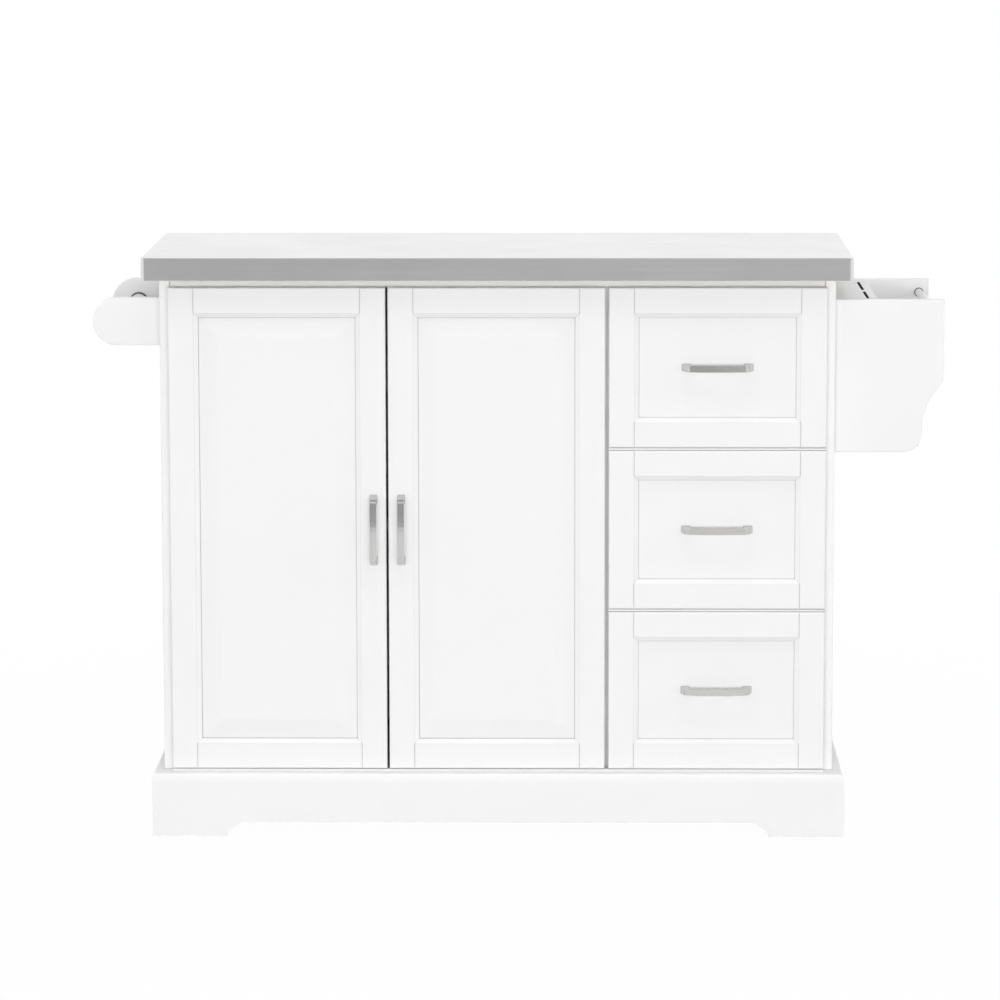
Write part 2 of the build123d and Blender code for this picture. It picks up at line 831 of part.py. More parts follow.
def rack_rods(narrow, inside, radius):
    """The two guard rods between the rack's ends, or the sockets for them with a wider radius."""
    span = (inside[0] - rack_rod_socket, inside[1] + rack_rod_socket)
    upper_x = cabinet_half + rack_reach - rack_rod_inset
    return [
        level_rod(upper_x, rack_top - rack_upper_rod_drop, span, radius),
        level_rod(narrow - rack_lower_rod_inset, rack_bottom + rack_lower_rod_rise, span, radius),
    ]


def knife_slots(inside):
    """Front and back of each knife slot."""
    front_start = inside[0] + slot_front_margin
    front_end = front_start + front_slot_length
    return [(front_start, front_end), (front_end + slot_web, inside[1] - slot_rear_margin)]


def rack():
    outline, narrow = rack_outline()
    outer = cabinet_half + rack_reach
    inside = (rack_front + rack_board, rack_back - rack_board)
    sockets = rack_rods(narrow, inside, rack_rod_radius + rack_rod_play)
    for name, start in (("front", rack_front), ("back", inside[1])):
        panel = rim_eased(along_y(outline, start, rack_board))
        for socket in sockets:
            panel -= socket
        save(f"rack_{name}_panel", panel)
    save("rack_guard_rods", *rack_rods(narrow, inside, rack_rod_radius))

    ledge_bottom = rack_top - rack_board
    ledge = board((cabinet_half, cabinet_half + ledge_width), inside, (ledge_bottom, rack_top))
    slot_middle = cabinet_half + knife_slot_offset
    slot_x = (slot_middle - knife_slot_width / 2, slot_middle + knife_slot_width / 2)
    for slot_y in knife_slots(inside):
        ledge -= board(slot_x, slot_y, (ledge_bottom, rack_top))
    save("rack_knife_ledge", ledge)

    shelf_bottom = rack_bottom + rack_lower_shelf_rise
    shelf_top = shelf_bottom + rack_shelf_thickness
    inner_face = cabinet_half + rack_backboard
    guard_x = (cabinet_half + ledge_width - guard_thickness, cabinet_half + ledge_width)
    save("rack_backboard", board((cabinet_half, inner_face), inside, (shelf_bottom, ledge_bottom)))
    save("rack_knife_guard", board(guard_x, inside, (shelf_top, ledge_bottom)))
    lower = board((inner_face, narrow - rack_shelf_setback), inside, (shelf_bottom, shelf_top))
    upper_bottom = rack_top - rack_upper_shelf_drop
    upper_heights = (upper_bottom, upper_bottom + rack_shelf_thickness)
    upper = board((guard_x[1], outer - rack_shelf_setback), inside, upper_heights)
    save("rack_shelves", lower, upper)


# Casters, drawn about their kingpin, with the wheel trailing towards -Y


def caster_levels():
    """Heights of the plate's underside, the boss's underside, and the fork crown's faces."""
    plate_low = base_bottom - caster_plate_thickness
    boss_low = plate_low - caster_boss_height
    crown_top = boss_low - caster_running_gap
    return plate_low, boss_low, crown_top, crown_top - fork_sheet


def caster_plate():
    """The screwed plate with its bearing boss, and the riveted stud that holds the fork."""
    plate_low, boss_low, crown_top, crown_low = caster_levels()
    outline = RectangleRounded(caster_plate_size, caster_plate_size, caster_plate_corner)
    plate = Pos(0, 0, plate_low) * extrude(outline, caster_plate_thickness)
    head_top = crown_low - caster_running_gap
    plate += upright_rod(0, 0, (boss_low, plate_low), caster_boss_radius)
    plate += upright_rod(0, 0, (head_top, boss_low), caster_stud_radius)
    return plate + upright_rod(0, 0, (head_top - caster_head_height, head_top), caster_head_radius)


def fork(room_for_brake):
    """A pressed fork: a round crown and two legs down to the axle, with the axle bolt through them."""
    plate_low, boss_low, crown_top, crown_low = caster_levels()
    leg_inner = wheel_hub_width / 2 + wheel_side_gap
    leg_outer = leg_inner + fork_sheet
    crown = upright_rod(0, 0, (crown_low, crown_top), fork_crown_radius)
    half = fork_crown_radius * 0.8
    leg_outline = make_hull(
        [
            *Line((-half, crown_low), (half * 0.7, crown_low)).edges(),
            *Circle(fork_leg_foot_radius).moved(Pos(-wheel_trail, wheel_radius)).edges(),
        ]
    )
    leg = along_x(leg_outline, leg_inner, fork_sheet)
    shape = crown + leg + mirror(leg, Plane.YZ)
    shape -= upright_rod(0, 0, (crown_low, crown_top), caster_stud_radius + caster_bore_clearance)
    end = leg_outer + room_for_brake + axle_head_height
    shank = Pos(0, -wheel_trail, wheel_radius) * Rot(0, 90, 0) * Cylinder(axle_radius, 2 * end)
    shape -= shank
    for side in (-1, 1):
        middle = side * (end - axle_head_height / 2)
        head = Rot(0, 90, 0) * extrude(RegularPolygon(axle_head_radius, 6), axle_head_height / 2, both=True)
        shank += Pos(middle, -wheel_trail, wheel_radius) * head
    return [shape, shank]


def caster_wheel():
    """A moulded wheel with a bevelled tread, dished sides and a proud hub."""
    half = wheel_width / 2
    hub_half = wheel_hub_width / 2
    bore = axle_radius + caster_bore_clearance
    rim_inside = wheel_radius - wheel_rim
    upper = [
        (wheel_radius, half - wheel_edge_bevel),
        (wheel_radius - wheel_edge_bevel, half),
        (rim_inside, half),
        (wheel_hub_radius, half - wheel_dish),
        (wheel_hub_radius, hub_half),
        (bore, hub_half),
    ]
    lower = [(radius, -height) for radius, height in reversed(upper)]
    turned = revolve(Plane.XZ * Polygon(*upper, *lower, align=None), Axis.Z)
    return Pos(0, -wheel_trail, wheel_radius) * Rot(0, 90, 0) * turned


def brake_lever():
    """A forked pedal that turns on the axle bolt and stands out behind the wheel."""
    leg_outer = wheel_hub_width / 2 + wheel_side_gap + fork_sheet
    inner = leg_outer + caster_running_gap
    rise = sin(radians(brake_rise))
    run = cos(radians(brake_rise))
    far = (-wheel_trail - brake_reach * run, wheel_radius + brake_reach * rise)
    near = (-wheel_trail, wheel_radius)
    arm_outline = make_hull(
        [
            *Circle(brake_arm_height / 2).moved(Pos(*near)).edges(),
            *Circle(brake_arm_height / 4).moved(Pos(*far)).edges(),
        ]
    )
    arm = along_x(arm_outline, inner, brake_sheet)
    lever = arm + mirror(arm, Plane.YZ)
    pedal_middle = brake_reach - brake_pedal_length / 2
    pedal = Box(2 * (inner + brake_sheet), brake_pedal_length, brake_sheet)
    place = Pos(0, -wheel_trail - pedal_middle * run, wheel_radius + pedal_middle * rise)
    lever += place * Rot(-brake_rise, 0, 0) * pedal
    bore_length = 2 * (inner + brake_sheet)
    bore = Rot(0, 90, 0) * Cylinder(axle_radius + caster_bore_clearance, bore_length)
    bore = Pos(0, -wheel_trail, wheel_radius) * bore
    return lever - bore


def casters():
    front_y = plinth_inside + caster_from_plinth
    back_y = worktop_depth - front_y
    spots = {
        "front_left": (-front_caster_x, front_y, 0),
        "front_right": (front_caster_x, front_y, 0),
        "rear_left": (-rear_caster_x, back_y, 180),
        "rear_right": (rear_caster_x, back_y, 180),
    }
    plates = []
    for name, (x, y, turn) in spots.items():
        place = Pos(x, y, 0) * Rot(0, 0, turn)
        plates.append(place * caster_plate())
        has_brake = turn == 0
        room = brake_sheet + 2 * caster_running_gap if has_brake else 0
        save(f"caster_{name}_fork", *[place * piece for piece in fork(room)])
        save(f"caster_{name}_wheel", place * caster_wheel())
        if has_brake:
            save(f"caster_{name}_brake", place * brake_lever())
    save("caster_plates", *plates)


worktop()
carcass()
shelf()
plinth()
doors()
drawers()
towel_rail()
rack()
casters()
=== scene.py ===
import json
import math

import bmesh
import bpy
from mathutils import Matrix, Vector


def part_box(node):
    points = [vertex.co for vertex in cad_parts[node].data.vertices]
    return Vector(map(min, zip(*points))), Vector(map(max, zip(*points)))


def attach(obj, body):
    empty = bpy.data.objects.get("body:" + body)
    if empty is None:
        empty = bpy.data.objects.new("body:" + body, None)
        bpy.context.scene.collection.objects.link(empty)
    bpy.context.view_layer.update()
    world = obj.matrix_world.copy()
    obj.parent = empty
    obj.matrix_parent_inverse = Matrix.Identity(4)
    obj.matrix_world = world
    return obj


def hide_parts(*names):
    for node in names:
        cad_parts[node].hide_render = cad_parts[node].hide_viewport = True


# White rolling kitchen island with a steel worktop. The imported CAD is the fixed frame, in metres:
# X to the right, Y to the back, Z up, the floor at Z = 0.
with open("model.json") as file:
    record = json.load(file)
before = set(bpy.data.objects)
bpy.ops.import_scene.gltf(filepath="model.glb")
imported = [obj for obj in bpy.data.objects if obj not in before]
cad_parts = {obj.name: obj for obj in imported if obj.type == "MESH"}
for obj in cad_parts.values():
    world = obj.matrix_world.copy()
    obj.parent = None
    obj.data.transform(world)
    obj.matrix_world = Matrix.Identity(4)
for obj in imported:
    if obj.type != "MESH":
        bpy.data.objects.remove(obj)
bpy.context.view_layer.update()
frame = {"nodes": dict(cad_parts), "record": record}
nodes = frame["nodes"]
scene = bpy.context.scene
scene.view_settings.view_transform = "Standard"
print("frame loaded:", len(nodes), "nodes")

cameraSizes = {
    "place": (0.0888, -7.317, 1.564),
    "turnLeft": 0.935,
    "tiltDown": 8.232,
    "roll": -0.089,
    "lens": 166.43,
    "sensor": 36,
    "farEnd": 60,
}


def makeCamera(sizes):
    data = bpy.data.cameras.new("productCamera")
    data.lens = sizes["lens"]
    data.sensor_width = sizes["sensor"]
    data.clip_end = sizes["farEnd"]
    camera = bpy.data.objects.new("productCamera", data)
    scene.collection.objects.link(camera)
    turn = Matrix.Rotation(math.radians(sizes["turnLeft"]), 4, "Z")
    tilt = Matrix.Rotation(math.radians(90 - sizes["tiltDown"]), 4, "X")
    roll = Matrix.Rotation(math.radians(sizes["roll"]), 4, "Z")
    camera.matrix_world = Matrix.Translation(sizes["place"]) @ turn @ tilt @ roll
    scene.camera = camera


makeCamera(cameraSizes)


# Ways to add and join nodes in one material, group or tree.
class Sheet:
    def __init__(self, tree):
        self.tree = tree
        self.column = 0

    def add(self, kind, values=None, **settings):
        node = self.tree.nodes.new(kind)
        self.column += 1
        node.location = (self.column * 180, -(self.column % 3) * 160)
        for key, value in settings.items():
            setattr(node, key, value)
        for key, value in (values or {}).items():
            self.put(value, node.inputs[key])
        return node

    def put(self, value, socket):
        if hasattr(value, "is_output"):
            self.tree.links.new(value, socket)
        else:
            socket.default_value = value

    def math(self, operation, first, second=0.0):
        return self.add("ShaderNodeMath", {0: first, 1: second}, operation=operation).outputs["Value"]

    def ramp(self, value, low, high, start=0.0, end=1.0, **settings):
        values = {"Value": value, "From Min": low, "From Max": high, "To Min": start, "To Max": end}
        return self.add("ShaderNodeMapRange", values, **settings).outputs["Result"]

    def vector(self, operation, values):
        return self.add("ShaderNodeVectorMath", values, operation=operation).outputs["Vector"]

    def fillet(self, curve, radius, steps):
        values = {"Curve": curve, "Radius": radius, "Count": steps, "Limit Radius": True}
        return self.add("GeometryNodeFilletCurve", values, mode="POLY").outputs["Curve"]

    def blend(self, factor, first, second):
        mix = self.add("ShaderNodeMix", {0: factor, 6: first, 7: second}, data_type="RGBA")
        return mix.outputs[2]

    def noise(self, where, scale, detail, **values):
        given = {"Vector": where, "Scale": scale, "Detail": detail}
        given.update(values)
        return self.add("ShaderNodeTexNoise", given).outputs["Fac"]


def colour(red, green, blue):
    return (red, green, blue, 1.0)


def newGroup(name, inputs, outputs):
    group = bpy.data.node_groups.new(name, "ShaderNodeTree")
    for label, kind, start in inputs:
        socket = group.interface.new_socket(name=label, in_out="INPUT", socket_type=kind)
        socket.default_value = start
    for label in outputs:
        group.interface.new_socket(name=label, in_out="OUTPUT", socket_type="NodeSocketFloat")
    sheet = Sheet(group)
    return sheet, sheet.add("NodeGroupInput").outputs, sheet.add("NodeGroupOutput").inputs


# Ranges are (start, end) of a ramp from 0 to 1.
sprayCoatSizes = {
    "peelRoughness": 0.45,
    "driftRange": (0.3, 0.7),
    "glossScale": 26.0,
    "glossRange": (0.35, 0.65),
}


# Sprayed lacquer: orange peel, slow drifts in tone, and gloss that varies by hand's breadth.
def makeSprayCoat(sizes):
    sheet, given, out = newGroup(
        "sprayCoat",
        [("Vector", "NodeSocketVector", (0, 0, 0)), ("Peel Scale", "NodeSocketFloat", 420.0),
         ("Drift Scale", "NodeSocketFloat", 3.0)],
        ["Height", "Drift", "Gloss"],
    )
    where = given["Vector"]
    sheet.put(sheet.noise(where, given["Peel Scale"], 2.0, Roughness=sizes["peelRoughness"]), out["Height"])
    drift = sheet.noise(where, given["Drift Scale"], 3.0)
    sheet.put(sheet.ramp(drift, *sizes["driftRange"]), out["Drift"])
    gloss = sheet.noise(where, sizes["glossScale"], 4.0)
    sheet.put(sheet.ramp(gloss, *sizes["glossRange"]), out["Gloss"])
    return sheet.tree


edgeWearSizes = {
    "edgeRange": (0.995, 0.85),
    "breakRange": (0.35, 0.6),
}


# 1 on worn edges, broken up by noise.
def makeEdgeWear(sizes):
    sheet, given, out = newGroup(
        "edgeWear",
        [("Vector", "NodeSocketVector", (0, 0, 0)), ("Radius", "NodeSocketFloat", 0.0015),
         ("Break Up", "NodeSocketFloat", 60.0)],
        ["Mask"],
    )
    rounded = sheet.add("ShaderNodeBevel", {"Radius": given["Radius"]}, samples=4)
    surface = sheet.add("ShaderNodeNewGeometry")
    facing = sheet.add("ShaderNodeVectorMath", {0: rounded.outputs["Normal"], 1: surface.outputs["Normal"]},
                       operation="DOT_PRODUCT")
    edge = sheet.ramp(facing.outputs["Value"], *sizes["edgeRange"])
    broken = sheet.ramp(sheet.noise(given["Vector"], given["Break Up"], 3.0), *sizes["breakRange"])
    sheet.put(sheet.math("MULTIPLY", edge, broken), out["Mask"])
    return sheet.tree


paintedCreviceShadeSizes = {
    "shutRange": (0.93, 0.5),
}


# Painted shade mask: 1 down in narrow joints and inner corners, where ambient occlusion finds shade.
def makePaintedCreviceShade(sizes):
    sheet, given, out = newGroup("paintedCreviceShade", [("Reach", "NodeSocketFloat", 0.003)], ["Mask"])
    shut = sheet.add("ShaderNodeAmbientOcclusion", {"Distance": given["Reach"]}, samples=6)
    sheet.put(sheet.ramp(shut.outputs["AO"], *sizes["shutRange"]), out["Mask"])
    return sheet.tree


brushedMetalSizes = {
    "scratchRoughness": 0.7,
    "scratchShare": 0.4,
    "bandScale": 2.5,
    "bandShare": 0.6,
    "toneRange": (0.3, 0.7),
    "smudgeScale": 7.0,
    "smudgeRange": (0.35, 0.7),
}


# Fine scratches and wide bands drawn out along one axis, under smudges.
def makeBrushedMetal(sizes):
    sheet, given, out = newGroup(
        "brushedMetal",
        [("Vector", "NodeSocketVector", (0, 0, 0)), ("Stretch", "NodeSocketVector", (1, 60, 60)),
         ("Scale", "NodeSocketFloat", 40.0)],
        ["Height", "Tone", "Gloss"],
    )
    drawn = sheet.vector("MULTIPLY", {0: given["Vector"], 1: given["Stretch"]})
    scratches = sheet.noise(drawn, given["Scale"], 6.0, Roughness=sizes["scratchRoughness"])
    bands = sheet.noise(drawn, sizes["bandScale"], 3.0)
    tone = sheet.math("ADD", sheet.math("MULTIPLY", scratches, sizes["scratchShare"]),
                      sheet.math("MULTIPLY", bands, sizes["bandShare"]))
    smudge = sheet.noise(given["Vector"], sizes["smudgeScale"], 5.0)
    sheet.put(scratches, out["Height"])
    sheet.put(sheet.ramp(tone, *sizes["toneRange"]), out["Tone"])
    sheet.put(sheet.ramp(smudge, *sizes["smudgeRange"]), out["Gloss"])
    return sheet.tree


settledDustSizes = {
    "levelRange": (0.6, 1.0),
    "patchRange": (0.3, 0.75),
}


# 1 in soft patches on surfaces that look up.
def makeSettledDust(sizes):
    sheet, given, out = newGroup(
        "settledDust",
        [("Vector", "NodeSocketVector", (0, 0, 0)), ("Patch Scale", "NodeSocketFloat", 18.0)],
        ["Mask"],
    )
    surface = sheet.add("ShaderNodeNewGeometry")
    split = sheet.add("ShaderNodeSeparateXYZ", {0: surface.outputs["Normal"]})
    patch = sheet.ramp(sheet.noise(given["Vector"], given["Patch Scale"], 5.0), *sizes["patchRange"])
    level = sheet.ramp(split.outputs["Z"], *sizes["levelRange"])
    sheet.put(sheet.math("MULTIPLY", level, patch), out["Mask"])
    return sheet.tree


sprayCoat = makeSprayCoat(sprayCoatSizes)
edgeWear = makeEdgeWear(edgeWearSizes)
paintedCreviceShade = makePaintedCreviceShade(paintedCreviceShadeSizes)
brushedMetal = makeBrushedMetal(brushedMetalSizes)
settledDust = makeSettledDust(settledDustSizes)


def startMaterial(name, roughness, metallic=0.0):
    material = bpy.data.materials.new(name)
    material.use_nodes = True
    sheet = Sheet(material.node_tree)
    shader = material.node_tree.nodes["Principled BSDF"].inputs
    shader["Roughness"].default_value = roughness
    shader["Metallic"].default_value = metallic
    where = sheet.add("ShaderNodeTexCoord").outputs["Object"]
    return material, sheet, shader, where


def useGroup(sheet, group, **values):
    node = sheet.add("ShaderNodeGroup", node_tree=group)
    for key, value in values.items():
        label = "".join(" " + letter if letter.isupper() else letter for letter in key).strip()
        sheet.put(value, node.inputs[label])
    return node.outputs


def bumpFrom(sheet, height, distance, strength):
    values = {"Height": height, "Distance": distance, "Strength": strength}
    return sheet.add("ShaderNodeBump", values).outputs["Normal"]


paintSizes = {
    "white": colour(0.905, 0.905, 0.905),
    "drift": colour(0.892, 0.893, 0.895),
    "edge": colour(0.865, 0.862, 0.855),
    # The dark grey below is painted shade, laid into narrow joints and inner corners.
    "paintedShade": colour(0.36, 0.358, 0.352),
    "dust": colour(0.88, 0.878, 0.873),
    "shadeReach": 0.0018,
    "shadeShare": 0.85,
    "wearRadius": 0.0012,
    "wearShare": 0.5,
    "dustShare": 0.25,
    "glossLow": 0.36,
    "glossHigh": 0.46,
    "peelScale": 420.0,
    "peelDepth": 0.00006,
    "peelStrength": 0.35,
}


def makePaint(name, sizes):
    material, sheet, shader, where = startMaterial(name, sizes["glossLow"])
    coat = useGroup(sheet, sprayCoat, Vector=where, PeelScale=sizes["peelScale"])
    wear = useGroup(sheet, edgeWear, Vector=where, Radius=sizes["wearRadius"])["Mask"]
    dust = useGroup(sheet, settledDust, Vector=where)["Mask"]
    paintedShade = useGroup(sheet, paintedCreviceShade, Reach=sizes["shadeReach"])["Mask"]
    tone = sheet.blend(coat["Drift"], sizes["white"], sizes["drift"])
    tone = sheet.blend(sheet.math("MULTIPLY", wear, sizes["wearShare"]), tone, sizes["edge"])
    tone = sheet.blend(sheet.math("MULTIPLY", dust, sizes["dustShare"]), tone, sizes["dust"])
    # Painted shade: where the occlusion mask finds joints and corners, the colour turns dark grey.
    tone = sheet.blend(sheet.math("MULTIPLY", paintedShade, sizes["shadeShare"]), tone, sizes["paintedShade"])
    sheet.put(tone, shader["Base Color"])
    sheet.put(sheet.ramp(coat["Gloss"], 0.0, 1.0, sizes["glossLow"], sizes["glossHigh"]), shader["Roughness"])
    sheet.put(bumpFrom(sheet, coat["Height"], sizes["peelDepth"], sizes["peelStrength"]), shader["Normal"])
    return material


worktopSteelSizes = {
    "bright": colour(0.768, 0.77, 0.773),
    "dark": colour(0.72, 0.722, 0.726),
    "stretch": (1, 70, 70),  # scratches run along X
    "scale": 9.0,
    "roughLow": 0.15,
    "roughHigh": 0.22,
    "bump": 0.04,
}
nickelUprightSizes = {
    "bright": colour(0.645, 0.64, 0.63),
    "dark": colour(0.55, 0.545, 0.535),
    "stretch": (60, 60, 1),  # along Z
    "scale": 40.0,
    "roughLow": 0.13,
    "roughHigh": 0.18,
    "bump": 0.06,
}
nickelLevelSizes = dict(nickelUprightSizes, stretch=(1, 60, 60))
platedSteelSizes = {
    "bright": colour(0.72, 0.725, 0.73),
    "dark": colour(0.6, 0.61, 0.62),
    "stretch": (8, 8, 8),
    "scale": 60.0,
    "roughLow": 0.28,
    "roughHigh": 0.42,
    "bump": 0.08,
}
metalWear = {"radius": 0.0006, "breakUp": 150.0, "scratchDepth": 0.0001}


def makeMetal(name, sizes):
    material, sheet, shader, where = startMaterial(name, sizes["roughLow"], 1.0)
    brushed = useGroup(sheet, brushedMetal, Vector=where, Stretch=sizes["stretch"], Scale=sizes["scale"])
    wear = useGroup(sheet, edgeWear, Vector=where, Radius=metalWear["radius"],
                    BreakUp=metalWear["breakUp"])["Mask"]
    tone = sheet.blend(brushed["Tone"], sizes["dark"], sizes["bright"])
    tone = sheet.blend(wear, tone, sizes["bright"])
    sheet.put(tone, shader["Base Color"])
    rough = sheet.ramp(brushed["Gloss"], 0.0, 1.0, sizes["roughLow"], sizes["roughHigh"])
    sheet.put(rough, shader["Roughness"])
    sheet.put(bumpFrom(sheet, brushed["Height"], metalWear["scratchDepth"], sizes["bump"]), shader["Normal"])
    return material


woodSizes = {
    "pale": colour(0.84, 0.83, 0.80),
    "grain": colour(0.79, 0.77, 0.73),
    # The dark brown below is painted shade, laid into narrow joints and inner corners.
    "paintedShade": colour(0.5, 0.48, 0.44),
    "shadeReach": 0.004,
    "shadeShare": 0.4,
    "drawnOut": (14.0, 1.2, 14.0),
    "grainScale": 9.0,
    "grainRange": (0.35, 0.65),
    "wander": 0.6,
    "poreScale": 60.0,
    "poreDepth": 0.0001,
    "poreStrength": 0.3,
    "rough": 0.55,
}


def makeGrainedWood(name, sizes):
    material, sheet, shader, where = startMaterial(name, sizes["rough"])
    drawn = sheet.add("ShaderNodeMapping", {"Vector": where, "Scale": sizes["drawnOut"]}).outputs["Vector"]
    grain = sheet.noise(drawn, sizes["grainScale"], 6.0, Distortion=sizes["wander"])
    grain = sheet.ramp(grain, *sizes["grainRange"])
    pores = sheet.noise(drawn, sizes["poreScale"], 4.0)
    paintedShade = useGroup(sheet, paintedCreviceShade, Reach=sizes["shadeReach"])["Mask"]
    tone = sheet.blend(grain, sizes["pale"], sizes["grain"])
    # Painted shade: where the occlusion mask finds joints and corners, the grain turns dark brown.
    tone = sheet.blend(sheet.math("MULTIPLY", paintedShade, sizes["shadeShare"]), tone, sizes["paintedShade"])
    sheet.put(tone, shader["Base Color"])
    sheet.put(bumpFrom(sheet, pores, sizes["poreDepth"], sizes["poreStrength"]), shader["Normal"])
    return material


boardSizes = {
    "chip": colour(0.64, 0.61, 0.56),
    "binder": colour(0.74, 0.72, 0.68),
    "chipScale": 420.0,
    "chipDepth": 0.0004,
    "chipStrength": 0.6,
    "rough": 0.8,
}


def makeCoreBoard(name, sizes):
    material, sheet, shader, where = startMaterial(name, sizes["rough"])
    voronoi = sheet.add("ShaderNodeTexVoronoi", {"Vector": where, "Scale": sizes["chipScale"]})
    chips = voronoi.outputs["Distance"]
    sheet.put(sheet.blend(chips, sizes["chip"], sizes["binder"]), shader["Base Color"])
    sheet.put(bumpFrom(sheet, chips, sizes["chipDepth"], sizes["chipStrength"]), shader["Normal"])
    return material


rubberSizes = {
    "light": colour(0.12, 0.12, 0.125), "dark": colour(0.07, 0.07, 0.075), "rough": 0.6, "speck": 900.0,
}
brakeSizes = {
    "light": colour(0.05, 0.05, 0.052), "dark": colour(0.03, 0.03, 0.032), "rough": 0.45, "speck": 1200.0,
}
capSizes = {
    "light": colour(0.86, 0.86, 0.85), "dark": colour(0.82, 0.82, 0.81), "rough": 0.5, "speck": 800.0,
}
mouldedWear = {
    "scuffScale": 30.0,
    "scuffRange": (0.4, 0.75),
    "dust": colour(0.3, 0.29, 0.28),
    "dustScale": 60.0,
    "dustShare": 0.3,
    "roughSpread": 0.1,
    "speckDepth": 0.0001,
    "speckStrength": 0.4,
}


def makeMoulded(name, sizes):
    material, sheet, shader, where = startMaterial(name, sizes["rough"])
    scuff = sheet.noise(where, mouldedWear["scuffScale"], 5.0)
    dust = useGroup(sheet, settledDust, Vector=where, PatchScale=mouldedWear["dustScale"])["Mask"]
    tone = sheet.blend(sheet.ramp(scuff, *mouldedWear["scuffRange"]), sizes["dark"], sizes["light"])
    tone = sheet.blend(sheet.math("MULTIPLY", dust, mouldedWear["dustShare"]), tone, mouldedWear["dust"])
    sheet.put(tone, shader["Base Color"])
    spread = mouldedWear["roughSpread"]
    rough = sheet.ramp(scuff, 0.0, 1.0, sizes["rough"] - spread, sizes["rough"] + spread)
    sheet.put(rough, shader["Roughness"])
    specks = sheet.noise(where, sizes["speck"], 4.0)
    bump = bumpFrom(sheet, specks, mouldedWear["speckDepth"], mouldedWear["speckStrength"])
    sheet.put(bump, shader["Normal"])
    return material


whitePaint = makePaint("whitePaint", paintSizes)
worktopSteel = makeMetal("worktopSteel", worktopSteelSizes)
nickelUpright = makeMetal("nickelUpright", nickelUprightSizes)
nickelLevel = makeMetal("nickelLevel", nickelLevelSizes)
platedSteel = makeMetal("platedSteel", platedSteelSizes)
insideWood = makeGrainedWood("insideWood", woodSizes)
coreBoard = makeCoreBoard("coreBoard", boardSizes)
wheelRubber = makeMoulded("wheelRubber", rubberSizes)
brakeSteel = makeMoulded("brakeSteel", brakeSizes)
capPlastic = makeMoulded("capPlastic", capSizes)

slotFinish = {
    "white_paint": whitePaint,
    "worktop_steel": worktopSteel,
    "core_board": coreBoard,
    "inside_wood": insideWood,
    "brushed_nickel": nickelLevel,
    "plated_steel": platedSteel,
    "wheel_rubber": wheelRubber,
    "brake_steel": brakeSteel,
}


def finishNodes():
    slotOf = {part["node"]: part["material_slot"] for part in frame["record"]["subparts"]}
    for name, node in nodes.items():
        node.data.materials.clear()
        node.data.materials.append(slotFinish[slotOf[name]])


finishNodes()
print("finishes made:", len(bpy.data.materials))


# A Geometry Nodes tree with named inputs. Gives the sheet, its inputs, its output socket and the sockets
# by name.
def newTree(name, inputs):
    tree = bpy.data.node_groups.new(name, "GeometryNodeTree")
    sockets = {}
    for label, kind in inputs:
        sockets[label] = tree.interface.new_socket(name=label, in_out="INPUT", socket_type=kind)
    tree.interface.new_socket(name="Result", in_out="OUTPUT", socket_type="NodeSocketGeometry")
    sheet = Sheet(tree)
    given = sheet.add("NodeGroupInput").outputs
    return sheet, given, sheet.add("NodeGroupOutput").inputs[0], sockets


def endTree(sheet, geometry, finish, out):
    real = sheet.add("GeometryNodeRealizeInstances", {"Geometry": geometry})
    coated = sheet.add("GeometryNodeSetMaterial", {"Geometry": real.outputs["Geometry"], "Material": finish})
    sheet.put(coated.outputs["Geometry"], out)


# Smooth shading with sharp edges where faces meet at more than the given angle.
def smoothBelow(sheet, geometry, degrees):
    soft = sheet.add("GeometryNodeSetShadeSmooth", {"Geometry": geometry}, domain="FACE").outputs["Geometry"]
    bend = sheet.add("GeometryNodeInputMeshEdgeAngle").outputs["Unsigned Angle"]
    sharp = sheet.math("GREATER_THAN", bend, math.radians(degrees))
    values = {"Geometry": soft, "Selection": sharp, "Shade Smooth": False}
    return sheet.add("GeometryNodeSetShadeSmooth", values, domain="EDGE").outputs["Geometry"]


# Runs a tree on a mesh and leaves its result as a plain mesh.
def growPiece(name, mesh, tree, sockets, values, finish):
    piece = bpy.data.objects.new(name, mesh)
    scene.collection.objects.link(piece)
    modifier = piece.modifiers.new(tree.name, "NODES")
    modifier.node_group = tree
    for label, value in values.items():
        modifier[sockets[label].identifier] = value
    modifier[sockets["Finish"].identifier] = finish
    bpy.context.view_layer.update()
    made = bpy.data.meshes.new_from_object(piece.evaluated_get(bpy.context.evaluated_depsgraph_get()))
    made.name = name
    piece.modifiers.clear()
    piece.data = made
    made.materials.clear()
    made.materials.append(finish)
    return piece


pullSizes = {
    "centres": 0.096,
    "footLength": 0.014,
    "legLean": 0.005,
    "legThickness": 0.008,
    "barThickness": 0.0055,
    "width": 0.0107,
    "projection": 0.025,
    "bow": 0.0035,
    "bend": 0.0062,
    "straight": 0.014,
    "bowSteps": 8,
    "bendSteps": 10,
    "edgeRound": 0.0005,
    "edgeSteps": 2,
    "step": 0.0008,
    "endReach": 0.00001,
    "sharpAbove": 9,  # degrees
}


